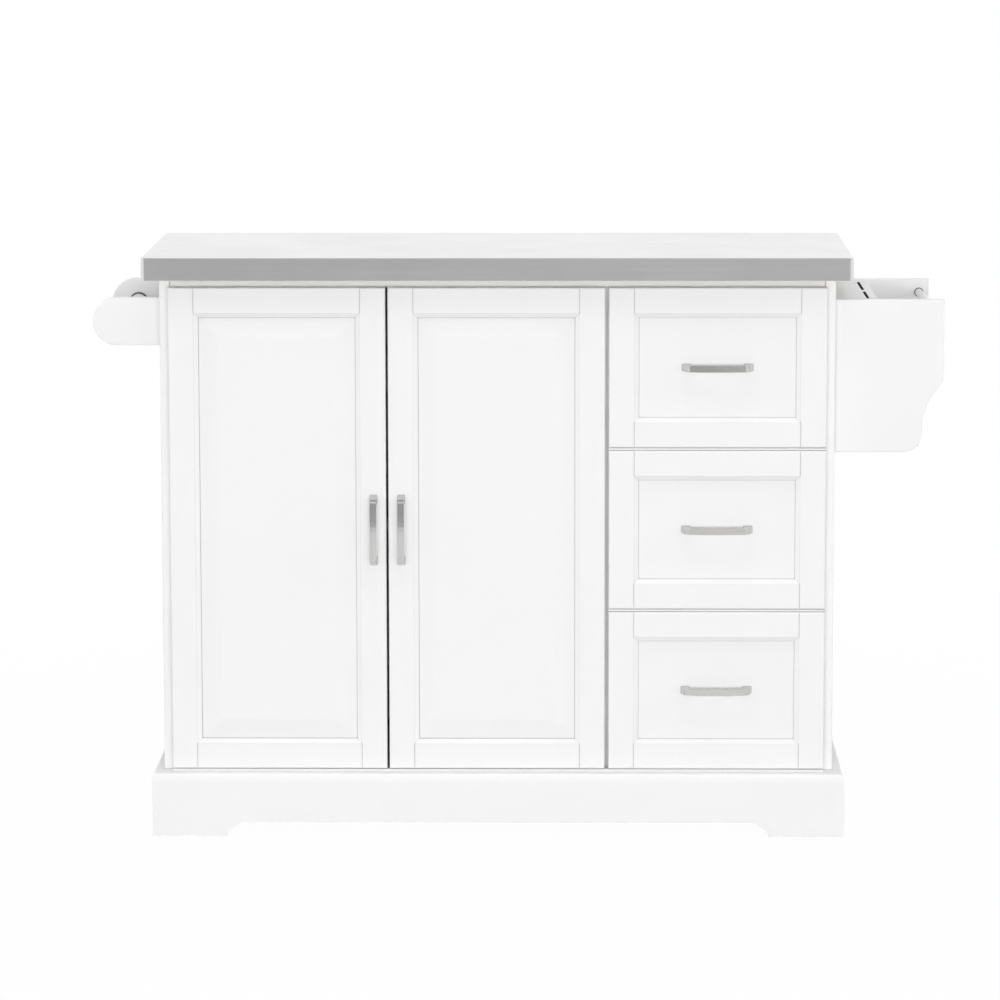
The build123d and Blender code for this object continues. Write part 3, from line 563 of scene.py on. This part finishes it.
# Sweeps a soft-edged bar along a bent path in the XY plane and thickens it towards its feet.
def makePullTree(sizes):
    sheet, given, out, sockets = newTree("bowedPull", [
        ("Path", "NodeSocketGeometry"), ("Bend", "NodeSocketFloat"), ("Step", "NodeSocketFloat"),
        ("Width", "NodeSocketFloat"), ("Bar Thickness", "NodeSocketFloat"),
        ("Leg Thickness", "NodeSocketFloat"), ("Foot Length", "NodeSocketFloat"),
        ("Leg Length", "NodeSocketFloat"), ("Edge Round", "NodeSocketFloat"),
        ("Finish", "NodeSocketMaterial")])
    curve = sheet.add("GeometryNodeMeshToCurve", {"Mesh": given["Path"]}).outputs["Curve"]
    bent = sheet.fillet(curve, given["Bend"], sizes["bendSteps"])
    even = sheet.add("GeometryNodeResampleCurve", {"Curve": bent, "Length": given["Step"]}, mode="LENGTH")
    upright = sheet.add("GeometryNodeSetCurveNormal", {"Curve": even.outputs["Curve"]}, mode="Z_UP")
    along = sheet.add("GeometryNodeSplineParameter").outputs["Length"]
    whole = sheet.add("GeometryNodeSplineLength").outputs["Length"]
    toEnd = sheet.math("MINIMUM", along, sheet.math("SUBTRACT", whole, along))
    leg = sheet.ramp(toEnd, 0.0, given["Leg Length"], given["Foot Length"], given["Leg Thickness"])
    bendStart = sheet.math("SUBTRACT", given["Leg Length"], given["Bend"])
    bar = sheet.ramp(toEnd, bendStart, given["Leg Length"], given["Leg Thickness"], given["Bar Thickness"],
                     interpolation_type="SMOOTHSTEP")
    thick = sheet.math("SUBTRACT", sheet.math("ADD", leg, bar), given["Leg Thickness"])
    thick = sheet.math("DIVIDE", thick, given["Bar Thickness"])
    middle = sheet.add("GeometryNodeInputPosition").outputs["Position"]
    isFoot = sheet.math("LESS_THAN", toEnd, sizes["endReach"])
    kept = upright.outputs["Curve"]
    read = {}
    for label, value, kind in (("thick", thick, "FLOAT"), ("middle", middle, "FLOAT_VECTOR"),
                               ("foot", isFoot, "FLOAT")):
        kept = sheet.add("GeometryNodeStoreNamedAttribute", {"Geometry": kept, "Name": label, "Value": value},
                         data_type=kind, domain="POINT").outputs["Geometry"]
        named = sheet.add("GeometryNodeInputNamedAttribute", {"Name": label}, data_type=kind)
        read[label] = named.outputs["Attribute"]
    section = sheet.add("GeometryNodeCurvePrimitiveQuadrilateral",
                        {"Width": given["Bar Thickness"], "Height": given["Width"]}).outputs["Curve"]
    section = sheet.fillet(section, given["Edge Round"], sizes["edgeSteps"])
    swept = sheet.add("GeometryNodeCurveToMesh",
                      {"Curve": kept, "Profile Curve": section, "Fill Caps": True})
    here = sheet.add("GeometryNodeInputPosition").outputs["Position"]
    away = sheet.vector("SUBTRACT", {0: here, 1: read["middle"]})
    flat = sheet.vector("MULTIPLY", {0: away, 1: (1.0, 1.0, 0.0)})
    wider = sheet.vector("SCALE", {0: flat, "Scale": sheet.math("SUBTRACT", read["thick"], 1.0)})
    fat = sheet.add("GeometryNodeSetPosition", {"Geometry": swept.outputs["Mesh"], "Offset": wider})
    there = sheet.add("GeometryNodeInputPosition").outputs["Position"]
    level = sheet.vector("MULTIPLY", {0: there, 1: (1.0, 0.0, 1.0)})  # the feet stand flat on Y = 0
    stood = sheet.add("GeometryNodeSetPosition",
                      {"Geometry": fat.outputs["Geometry"], "Selection": read["foot"], "Position": level})
    shaded = smoothBelow(sheet, stood.outputs["Geometry"], sizes["sharpAbove"])
    endTree(sheet, shaded, given["Finish"], out)
    return sheet.tree, sockets


pullTree, pullSockets = makePullTree(pullSizes)


def pullPath(name, sizes):
    foot = sizes["centres"] / 2
    shoulder = foot + sizes["footLength"] / 2 - sizes["legLean"] - sizes["legThickness"] / 2
    face = sizes["bow"] - sizes["projection"] + sizes["barThickness"] / 2
    points = [(-foot, 0, 0), (-shoulder, face, 0)]
    reach = shoulder - sizes["straight"]
    for step in range(sizes["bowSteps"] + 1):
        x = reach * (2 * step / sizes["bowSteps"] - 1)
        points.append((x, face - sizes["bow"] * (1 - (x / shoulder) ** 2), 0))
    points += [(shoulder, face, 0), (foot, 0, 0)]
    mesh = bpy.data.meshes.new(name + "Path")
    mesh.from_pydata(points, [(step, step + 1) for step in range(len(points) - 1)], [])
    return mesh, -face


# The pull stands on Y = 0, along X, reaching towards -Y. A door's pull is turned upright.
def setPull(name, node, body, finish, upright, sizes):
    mesh, legLength = pullPath(name, sizes)
    values = {"Bend": sizes["bend"], "Step": sizes["step"], "Width": sizes["width"],
              "Bar Thickness": sizes["barThickness"], "Leg Thickness": sizes["legThickness"],
              "Foot Length": sizes["footLength"], "Leg Length": legLength, "Edge Round": sizes["edgeRound"]}
    pull = growPiece(name, mesh, pullTree, pullSockets, values, finish)
    low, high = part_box(node)
    turn = Matrix.Rotation(math.radians(90), 4, "Y") if upright else Matrix.Identity(4)
    place = Matrix.Translation(((low.x + high.x) / 2, high.y, (low.z + high.z) / 2))
    pull.data.transform(place @ turn)
    for label in ("thick", "middle", "foot"):
        if label in pull.data.attributes:
            pull.data.attributes.remove(pull.data.attributes[label])
    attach(pull, body)
    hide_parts(node)


for side in ("left", "right"):
    setPull(side + "DoorPull", side + "_door_handle", side + "_door", nickelUpright, True, pullSizes)
for level in ("top", "middle", "bottom"):
    setPull(level + "DrawerPull", "drawer_" + level + "_handle", level + "_drawer", nickelLevel, False,
            pullSizes)
print("pulls set")


fastenerSizes = {
    "panHead": {
        "radius": 0.0040, "height": 0.0022,
        "crossLength": 0.0016, "crossWidth": 0.0007, "crossDepth": 0.0011,
        "crossSides": 1.5, "crossMiddle": 1.2, "crossTaper": 0.75,
        "turns": 16,
        "profile": [(1.0, 0.0), (1.0, 0.35), (0.86, 0.75), (0.66, 0.94), (0.5, 1.0)],
    },
    "bumper": {
        "radius": 0.0024, "height": 0.0012, "turns": 12,
        "profile": [(1, 0), (0.94, 0.5), (0.7, 0.86), (0.36, 0.98), (0, 1)],
    },
    "camCap": {
        "radius": 0.0085, "height": 0.0007, "turns": 24,
        "profile": [(1, 0), (0.97, 0.7), (0.88, 1), (0.3, 1), (0.24, 0.7), (0, 0.7)],
    },
    "seed": 7,
}


# A turned head standing on Z = 0. Each ring is (reaches, height), its reaches dealt out in turn around it,
# and a ring of no reach is a single point.
def turnHead(name, rings, turns, capped):
    points = []
    loops = []
    for reaches, height in rings:
        first = len(points)
        count = turns if max(reaches) > 0 else 1
        for step in range(count):
            angle = 2 * math.pi * step / turns
            reach = reaches[step % len(reaches)]
            points.append((reach * math.cos(angle), reach * math.sin(angle), height))
        loops.append([first + step % count for step in range(turns)])
    faces = []
    for low, high in zip(loops, loops[1:]):
        for step in range(turns):
            following = (step + 1) % turns
            face = [low[step], low[following], high[following], high[step]]
            faces.append(face if high[step] != high[following] else face[:3])
    if capped:
        faces += [loops[0][::-1], loops[-1]]
    mesh = bpy.data.meshes.new(name)
    mesh.from_pydata(points, [], faces)
    return bpy.data.objects.new(name, mesh)


# Profiles are (share of radius, share of height) pairs.
def profileRings(sizes):
    return [([sizes["radius"] * reach], sizes["height"] * rise) for reach, rise in sizes["profile"]]


# A domed pan head with a cross recess.
def makeScrewHead(name, sizes):
    sides = sizes["crossWidth"] * sizes["crossSides"]
    arms = [sizes["crossLength"], sides, sizes["crossWidth"] * sizes["crossMiddle"], sides]
    recess = [(arms, sizes["height"]),
              ([sizes["crossTaper"] * arm for arm in arms], sizes["height"] - sizes["crossDepth"])]
    return turnHead(name, profileRings(sizes) + recess, sizes["turns"], True)


# A low dome or cap.
def makeDome(name, sizes):
    dome = turnHead(name, profileRings(sizes), sizes["turns"], False)
    dome.data.shade_smooth()
    return dome


# Stands a head on every point, square to the point's facing, each with its own random turn.
def makeFastenerTree():
    sheet, given, out, sockets = newTree("setFasteners", [
        ("Places", "NodeSocketGeometry"), ("Head", "NodeSocketObject"), ("Head Scale", "NodeSocketFloat"),
        ("Turn Seed", "NodeSocketInt"), ("Finish", "NodeSocketMaterial")])
    head = sheet.add("GeometryNodeObjectInfo", {"Object": given["Head"]})
    facing = sheet.add("GeometryNodeInputNamedAttribute", {"Name": "facing"}, data_type="FLOAT_VECTOR")
    square = sheet.add("FunctionNodeAlignRotationToVector", {"Vector": facing.outputs["Attribute"]}, axis="Z")
    spin = sheet.add("FunctionNodeRandomValue", {"Seed": given["Turn Seed"], 3: math.pi * 2},
                     data_type="FLOAT")
    turn = sheet.add("FunctionNodeAxisAngleToRotation", {"Axis": (0, 0, 1), "Angle": spin.outputs[1]})
    both = sheet.add("FunctionNodeRotateRotation",
                     {"Rotation": square.outputs["Rotation"], "Rotate By": turn.outputs["Rotation"]},
                     rotation_space="LOCAL")
    stand = sheet.add("GeometryNodeInstanceOnPoints",
                      {"Points": given["Places"], "Instance": head.outputs["Geometry"],
                       "Rotation": both.outputs["Rotation"], "Scale": given["Head Scale"]})
    endTree(sheet, stand.outputs["Instances"], given["Finish"], out)
    return sheet.tree, sockets


sweepSizes = {
    "cornerSteps": 4,
    "sharpAbove": 40,  # degrees
}


# Sweeps a rounded section along paths: rings and liners.
def makeTrimTree(sizes):
    sheet, given, out, sockets = newTree("sweptTrim", [
        ("Paths", "NodeSocketGeometry"), ("Section Width", "NodeSocketFloat"),
        ("Section Height", "NodeSocketFloat"), ("Section Round", "NodeSocketFloat"),
        ("Finish", "NodeSocketMaterial")])
    curve = sheet.add("GeometryNodeMeshToCurve", {"Mesh": given["Paths"]}).outputs["Curve"]
    upright = sheet.add("GeometryNodeSetCurveNormal", {"Curve": curve}, mode="Z_UP").outputs["Curve"]
    section = sheet.add("GeometryNodeCurvePrimitiveQuadrilateral",
                        {"Width": given["Section Width"], "Height": given["Section Height"]}).outputs["Curve"]
    section = sheet.fillet(section, given["Section Round"], sizes["cornerSteps"])
    swept = sheet.add("GeometryNodeCurveToMesh",
                      {"Curve": upright, "Profile Curve": section, "Fill Caps": True})
    shaded = smoothBelow(sheet, swept.outputs["Mesh"], sizes["sharpAbove"])
    endTree(sheet, shaded, given["Finish"], out)
    return sheet.tree, sockets


fastenerTree, fastenerSockets = makeFastenerTree()
trimTree, trimSockets = makeTrimTree(sweepSizes)
panHead = makeScrewHead("panHead", fastenerSizes["panHead"])
bumperDome = makeDome("bumperDome", fastenerSizes["bumper"])
camCap = makeDome("camCap", fastenerSizes["camCap"])


# places is a list of (point, facing) pairs.
def setFasteners(name, body, places, head, finish, scale=1.0):
    mesh = bpy.data.meshes.new(name + "Places")
    mesh.from_pydata([point for point, facing in places], [], [])
    layer = mesh.attributes.new("facing", "FLOAT_VECTOR", "POINT")
    for index, (point, facing) in enumerate(places):
        layer.data[index].vector = facing
    values = {"Head": head, "Head Scale": scale, "Turn Seed": fastenerSizes["seed"]}
    piece = growPiece(name, mesh, fastenerTree, fastenerSockets, values, finish)
    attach(piece, body)


# paths is a list of (points, closed) pairs.
def setTrim(name, body, paths, width, height, roundness, finish):
    points = []
    edges = []
    for line, closed in paths:
        first = len(points)
        points += line
        edges += [(first + step, first + step + 1) for step in range(len(line) - 1)]
        if closed:
            edges.append((first + len(line) - 1, first))
    mesh = bpy.data.meshes.new(name + "Paths")
    mesh.from_pydata(points, edges, [])
    values = {"Section Width": width, "Section Height": height, "Section Round": roundness}
    piece = growPiece(name, mesh, trimTree, trimSockets, values, finish)
    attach(piece, body)


weldWithin = 0.000002


# Lowest and highest corner of every separate solid of a node, in the same order at every run.
def solidBoxes(node):
    shape = bmesh.new()
    shape.from_mesh(nodes[node].data)
    bmesh.ops.remove_doubles(shape, verts=shape.verts, dist=weldWithin)
    waiting = set(shape.verts)
    boxes = []
    while waiting:
        front = [waiting.pop()]
        found = list(front)
        while front:
            for edge in front.pop().link_edges:
                for vert in edge.verts:
                    if vert in waiting:
                        waiting.remove(vert)
                        front.append(vert)
                        found.append(vert)
        low = Vector([min(vert.co[axis] for vert in found) for axis in range(3)])
        high = Vector([max(vert.co[axis] for vert in found) for axis in range(3)])
        boxes.append((low, high))
    shape.free()
    return sorted(boxes, key=lambda box: [round(value, 4) for corner in box for value in corner])


screwPlaces = {
    "backInset": 0.008,
    "backAcross": 7,
    "backUp": 5,
    "casterPlate": 0.0225,
    "casterThickness": 0.0025,
    "wingThickness": 0.002,
    "wingSpan": 0.05,
    "wingInset": 0.006,
    "earInset": 0.007,
    "boxWall": 0.012,
    "frontInset": (0.022, 0.028),
    "bumperInset": 0.003,
    "camRise": 0.034,
    "camInset": 0.09,
    "smallHead": 0.8,
    "hingeHead": 0.9,
    "pullHead": 1.1,
}


def backPanelScrews(sizes):
    low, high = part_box("back_panel")
    inset = sizes["backInset"]
    places = []
    for step in range(sizes["backAcross"]):
        x = low.x + inset + (high.x - low.x - 2 * inset) * step / (sizes["backAcross"] - 1)
        for z in (low.z + inset, high.z - inset):
            places.append(((x, high.y, z), (0, 1, 0)))
    for step in range(1, sizes["backUp"]):
        z = low.z + inset + (high.z - low.z - 2 * inset) * step / sizes["backUp"]
        for x in (low.x + inset, high.x - inset):
            places.append(((x, high.y, z), (0, 1, 0)))
    setFasteners("backPanelScrews", "cabinet", places, panHead, platedSteel,
                 sizes["smallHead"])


def casterScrews(sizes):
    places = []
    for low, high in solidBoxes("caster_plates"):
        middle = (low + high) / 2
        under = high.z - sizes["casterThickness"]
        for x in (-1, 1):
            for y in (-1, 1):
                place = (middle.x + x * sizes["casterPlate"], middle.y + y * sizes["casterPlate"], under)
                places.append((place, (0, 0, -1)))
    setFasteners("casterPlateScrews", "cabinet", places, panHead, platedSteel)


def hingeScrews(sizes):
    places = []
    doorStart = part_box("left_door_panel")[0].x
    for low, high in solidBoxes("door_hinge_arms"):
        if high.z - low.z < sizes["wingSpan"]:
            continue
        side = 1 if low.x < doorStart else -1
        face = low.x + sizes["wingThickness"] if side > 0 else high.x - sizes["wingThickness"]
        for z in (low.z + sizes["wingInset"], high.z - sizes["wingInset"]):
            places.append(((face, (low.y + high.y) / 2, z), (side, 0, 0)))
    setFasteners("hingePlateScrews", "cabinet", places, panHead, platedSteel,
                 sizes["hingeHead"])
    for side in ("left", "right"):
        places = []
        for low, high in solidBoxes(side + "_door_hinge_cups"):
            for z in (low.z + sizes["earInset"], high.z - sizes["earInset"]):
                places.append((((low.x + high.x) / 2, high.y, z), (0, 1, 0)))
        setFasteners(side + "HingeCupScrews", side + "_door", places, panHead, platedSteel,
                     sizes["smallHead"])


def pullScrews(pulls, sizes):
    for side in ("left", "right"):
        low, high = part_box(side + "_door_handle")
        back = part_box(side + "_door_frame")[1].y
        middle = (low + high) / 2
        places = [((middle.x, back, middle.z + way * pulls["centres"] / 2), (0, 1, 0)) for way in (-1, 1)]
        setFasteners(side + "PullScrews", side + "_door", places, panHead, platedSteel,
                     sizes["pullHead"])


def drawerScrews(pulls, sizes):
    for level in ("top", "middle", "bottom"):
        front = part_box("drawer_" + level + "_front")
        low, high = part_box("drawer_" + level + "_box")
        wall = sizes["boxWall"]
        back = low.y + wall
        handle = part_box("drawer_" + level + "_handle")
        middle = (handle[0] + handle[1]) / 2
        places = [((middle.x + way * pulls["centres"] / 2, back, middle.z), (0, 1, 0)) for way in (-1, 1)]
        insetX, insetZ = sizes["frontInset"]
        for x in (low.x + wall + insetX, high.x - wall - insetX):
            for z in (low.z + insetZ, high.z - insetZ):
                places.append(((x, back, z), (0, 1, 0)))
        setFasteners(level + "DrawerScrews", level + "_drawer", places, panHead, platedSteel)
        edge = front[0].z + sizes["bumperInset"] if level == "top" else front[1].z - sizes["bumperInset"]
        places = [((x, front[1].y, edge), (0, 1, 0)) for x in (low.x, high.x)]
        setFasteners(level + "DrawerBumpers", level + "_drawer", places, bumperDome, capPlastic)


def camCaps(sizes):
    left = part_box("side_panel_left")
    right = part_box("side_panel_right")
    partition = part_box("center_partition")
    floorTop = left[0].z
    places = []
    for face, side in ((left[1].x, 1), (right[0].x, -1), (partition[0].x, -1), (partition[1].x, 1)):
        for y in (partition[0].y + sizes["camInset"], partition[1].y - sizes["camInset"]):
            places.append(((face, y, floorTop + sizes["camRise"]), (side, 0, 0)))
    setFasteners("camCaps", "cabinet", places, camCap, capPlastic)


trimSizes = {
    # The two ring thicknesses below are for dark rings of painted shade at the bar sockets.
    "towelShadeRing": 0.0020,
    "rodShadeRing": 0.0010,
    "ringGap": 0.0002,
    "ringSteps": 40,
    "baseBead": [(0.0005, 0.0), (0.0005, 0.0004), (0.0018, 0.0012), (0.0037, 0.0041), (0.0045, 0.0045)],
    "beadClear": 0.0003,
    "beadSetback": 0.0020,
    "beadReach": 0.0005,
    "beadRound": 0.0005,
    "slotFromRack": 0.052,
    "slotWidth": 0.005,
    "frontSlot": (0.005, 0.111),  # start and end, from the rack's front
    "backSlotStart": 0.138,
    "backSlotMargin": 0.046,
    # The liner sizes below shape thin dark walls of painted shade in the knife slots.
    "linerWall": 0.0005,
    "linerDepth": 0.0140,
    "linerSink": 0.0002,
    "linerCorner": 0.0012,
    "linerRound": 0.0001,
}


# Dark rings round the bars at their sockets: painted shade, standing in for the shadow in the gap between bar
# and socket.
def socketShadeRings(name, bars, frontPlate, backPlate, thickness, sizes):
    paths = []
    for low, high in bars:
        radius = (high.z - low.z) / 2 + thickness / 2 + sizes["ringGap"]
        middle = (low + high) / 2
        for y in (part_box(frontPlate)[1].y + thickness / 2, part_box(backPlate)[0].y - thickness / 2):
            ring = []
            for step in range(sizes["ringSteps"]):
                angle = 2 * math.pi * step / sizes["ringSteps"]
                ring.append((middle.x + radius * math.cos(angle), y, middle.z + radius * math.sin(angle)))
            paths.append((ring, True))
    setTrim(name, "cabinet", paths, thickness, thickness, thickness / 2, wheelRubber)


# A long solid of one section: shape is a list of (y, z) corners.
def setBead(name, start, end, shape):
    count = len(shape)
    points = [(x, y, z) for x in (start, end) for y, z in shape]
    faces = [(step, (step + 1) % count, (step + 1) % count + count, step + count) for step in range(count)]
    faces += [tuple(range(count)), tuple(range(2 * count - 1, count - 1, -1))]
    mesh = bpy.data.meshes.new(name)
    mesh.from_pydata(points, [], faces)
    solid = bmesh.new()
    solid.from_mesh(mesh)
    bmesh.ops.recalc_face_normals(solid, faces=solid.faces)
    solid.to_mesh(mesh)
    solid.free()
    mesh.materials.append(whitePaint)
    bead = bpy.data.objects.new(name, mesh)
    scene.collection.objects.link(bead)
    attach(bead, "cabinet")


# Behind the gaps of the fronts: a sloped bead on the base, and a dust strip on each drawer divider.
# The slope is a list of (behind the fronts' face, above the base).
def gapBeads(sizes):
    left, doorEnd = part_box("left_door_frame")
    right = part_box("drawer_bottom_front")[1]
    back = doorEnd.y
    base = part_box("bottom_panel")[1].z
    slope = [(left.y + behind, base + above) for behind, above in sizes["baseBead"]]
    setBead("baseBead", left.x, right.x, slope + [(back, slope[-1][1]), (back, base)])
    front = left.y + sizes["beadSetback"]
    reach = back + sizes["beadReach"]
    roundness = sizes["beadRound"]
    for lower, upper in (("bottom", "middle"), ("middle", "top")):
        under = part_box("drawer_" + lower + "_front")[1].z
        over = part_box("drawer_" + upper + "_front")[0].z
        middle = (under + over) / 2
        half = (over - under) / 2 - sizes["beadClear"]
        setBead(upper + "DividerBead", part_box("drawer_top_front")[0].x, right.x, [
            (front, middle - half + roundness), (front, middle + half - roundness),
            (front + roundness, middle + half), (reach, middle + half),
            (reach, middle - half), (front + roundness, middle - half)])


# Thin dark walls in the two knife slots: painted shade, standing in for the shade down in the slots.
def knifeSlotLiners(sizes):
    low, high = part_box("rack_knife_ledge")
    middle = low.x + sizes["slotFromRack"]
    half = sizes["slotWidth"] / 2 - sizes["linerWall"] / 2
    z = high.z - sizes["linerDepth"] / 2 - sizes["linerSink"]
    corner = sizes["linerCorner"]
    frontStart, frontEnd = sizes["frontSlot"]
    paths = []
    for start, end in ((low.y + frontStart, low.y + frontEnd),
                       (low.y + sizes["backSlotStart"], high.y - sizes["backSlotMargin"])):
        start += sizes["linerWall"] / 2
        end -= sizes["linerWall"] / 2
        loop = [(middle - half + corner, start), (middle + half - corner, start),
                (middle + half, start + corner), (middle + half, end - corner),
                (middle + half - corner, end), (middle - half + corner, end),
                (middle - half, end - corner), (middle - half, start + corner)]
        paths.append(([(x, y, z) for x, y in loop], True))
    setTrim("knifeSlotLiners", "cabinet", paths, sizes["linerWall"], sizes["linerDepth"], sizes["linerRound"],
            wheelRubber)


backPanelScrews(screwPlaces)
casterScrews(screwPlaces)
hingeScrews(screwPlaces)
pullScrews(pullSizes, screwPlaces)
drawerScrews(pullSizes, screwPlaces)
camCaps(screwPlaces)
print("screws and caps set")
# Painted shade: dark rings at the towel bar's and guard rods' sockets.
socketShadeRings("towelBarRings", [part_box("towel_bar")], "towel_bracket_front", "towel_bracket_back",
         trimSizes["towelShadeRing"], trimSizes)
socketShadeRings("guardRodRings", solidBoxes("rack_guard_rods"), "rack_front_panel", "rack_back_panel",
         trimSizes["rodShadeRing"], trimSizes)
gapBeads(trimSizes)
knifeSlotLiners(trimSizes)
print("rings, beads and liners set")


stageSizes = {
    "floorSides": 9.0,
    "floorFront": 4.9,
    "floorBack": 9.0,
    "floorShade": colour(0.5, 0.5, 0.5),
    "floorRough": 0.9,
    "whiteShare": 0.985,  # near the island; the rest is its shadow
    "shadeStart": 0.9,
    "shadeEnd": 2.4,
    "ambient": 0.34,
    "roomLeft": 0.48,
    "roomRight": 0.58,
    "roomSpread": 0.1,
    "backdropEdge": (-0.15, 0.25),
    "flatsEdge": (0.45, 0.9),
    "ceilingEdge": (0.85, 0.55),
    "ceilingPanel": (0.72, 0.8, 0.88, 0.94),
}


def makeFloor(sizes):
    mesh = bpy.data.meshes.new("studioFloor")
    reach = sizes["floorSides"]
    front = -sizes["floorFront"]
    back = sizes["floorBack"]
    corners = [(-reach, front, 0), (reach, front, 0), (reach, back, 0), (-reach, back, 0)]
    mesh.from_pydata(corners, [], [(0, 1, 2, 3)])
    floor = bpy.data.objects.new("studioFloor", mesh)
    scene.collection.objects.link(floor)
    material = bpy.data.materials.new("studioFloor")
    material.use_nodes = True
    sheet = Sheet(material.node_tree)
    shader = material.node_tree.nodes["Principled BSDF"]
    shader.inputs["Roughness"].default_value = sizes["floorRough"]
    shader.inputs["Base Color"].default_value = sizes["floorShade"]
    rays = sheet.add("ShaderNodeLightPath").outputs
    glow = sheet.add("ShaderNodeEmission", {"Color": colour(1, 1, 1), "Strength": 1.0})
    seen = sheet.math("MAXIMUM", rays["Is Camera Ray"], rays["Is Glossy Ray"])
    seen = sheet.math("MAXIMUM", seen, rays["Is Transmission Ray"])
    apart = sheet.add("ShaderNodeVectorMath", {0: sheet.add("ShaderNodeTexCoord").outputs["Object"]},
                      operation="LENGTH").outputs["Value"]
    fade = sheet.ramp(apart, sizes["shadeStart"], sizes["shadeEnd"], sizes["whiteShare"], 1.0)
    share = sheet.math("MULTIPLY", seen, fade)
    mix = sheet.add("ShaderNodeMixShader", {0: share, 1: shader.outputs["BSDF"], 2: glow.outputs["Emission"]})
    sheet.put(mix.outputs["Shader"], material.node_tree.nodes["Material Output"].inputs["Surface"])
    mesh.materials.append(material)


# The camera sees a white backdrop. Gloss sees that backdrop, white flats beside the island, a ceiling panel
# and the grey room behind the photographer.
def makeWorld(sizes):
    world = bpy.data.worlds.new("studioWorld")
    scene.world = world
    world.use_nodes = True
    sheet = Sheet(world.node_tree)
    where = sheet.add("ShaderNodeTexCoord").outputs["Generated"]
    split = sheet.add("ShaderNodeSeparateXYZ", {0: where}).outputs
    backdrop = sheet.ramp(split["Y"], *sizes["backdropEdge"], interpolation_type="SMOOTHSTEP")
    aside = sheet.math("ABSOLUTE", split["X"])
    flats = sheet.ramp(aside, *sizes["flatsEdge"], interpolation_type="SMOOTHSTEP")
    below = sheet.ramp(split["Z"], *sizes["ceilingEdge"], interpolation_type="SMOOTHSTEP")
    lit = sheet.math("MULTIPLY", sheet.math("MAXIMUM", backdrop, flats), below)
    panelStart, panelLit, panelDim, panelEnd = sizes["ceilingPanel"]
    panel = sheet.math("MULTIPLY", sheet.ramp(split["Z"], panelStart, panelLit),
                       sheet.ramp(split["Z"], panelEnd, panelDim))
    lit = sheet.math("MAXIMUM", lit, panel)
    spread = sizes["roomSpread"]
    room = sheet.ramp(split["X"], -spread, spread, sizes["roomLeft"], sizes["roomRight"])
    gloss = sheet.blend(lit, room, colour(1, 1, 1))
    ambient = sizes["ambient"]
    rays = sheet.add("ShaderNodeLightPath").outputs
    polished = sheet.math("MAXIMUM", rays["Is Glossy Ray"], rays["Is Transmission Ray"])
    shown = sheet.blend(polished, colour(ambient, ambient, ambient), gloss)
    shown = sheet.blend(rays["Is Camera Ray"], shown, colour(1, 1, 1))
    background = world.node_tree.nodes["Background"].inputs
    sheet.put(shown, background["Color"])
    background["Strength"].default_value = 1.0


lampSizes = {
    "frontSoftbox": {"place": (0, -8.4, 1.0), "target": (0, 0, 0.6), "size": (5.0, 1.3), "power": 339},
    "rightSoftbox": {"place": (4.8, -5.8, 1.3), "target": (0, 0, 0.6), "size": (2.6, 2.4), "power": 27},
    "leftSoftbox": {"place": (-4.8, -5.8, 1.3), "target": (0, 0, 0.6), "size": (2.6, 2.4), "power": 25},
    "topSoftbox": {"place": (0, -1.2, 4.2), "target": (0, 0, 0.8), "size": (3.0, 2.0), "power": 39},
    "backSoftbox": {"place": (0, 8.4, 1.8), "target": (0, 0, 0.6), "size": (5.0, 1.8), "power": 200},
    "rightSideBox": {"place": (5.0, -0.4, 2.6), "target": (0.6, 0, 0.8), "size": (2.4, 1.6), "power": 70},
    "leftSideBox": {"place": (-5.0, -0.4, 2.6), "target": (-0.6, 0, 0.8), "size": (2.4, 1.6), "power": 53},
}


# The softboxes light without a reflection of their own; what the gloss sees is the room.
def makeLamp(name, sizes):
    data = bpy.data.lights.new(name, "AREA")
    data.shape = "RECTANGLE"
    data.size, data.size_y = sizes["size"]
    data.energy = sizes["power"]
    lamp = bpy.data.objects.new(name, data)
    scene.collection.objects.link(lamp)
    lamp.location = sizes["place"]
    lamp.rotation_mode = "QUATERNION"
    aim = Vector(sizes["target"]) - Vector(sizes["place"])
    lamp.rotation_quaternion = aim.to_track_quat("-Z", "Y")
    lamp.visible_glossy = False


makeFloor(stageSizes)
makeWorld(stageSizes)
for name, sizes in lampSizes.items():
    makeLamp(name, sizes)
print("stage ready")
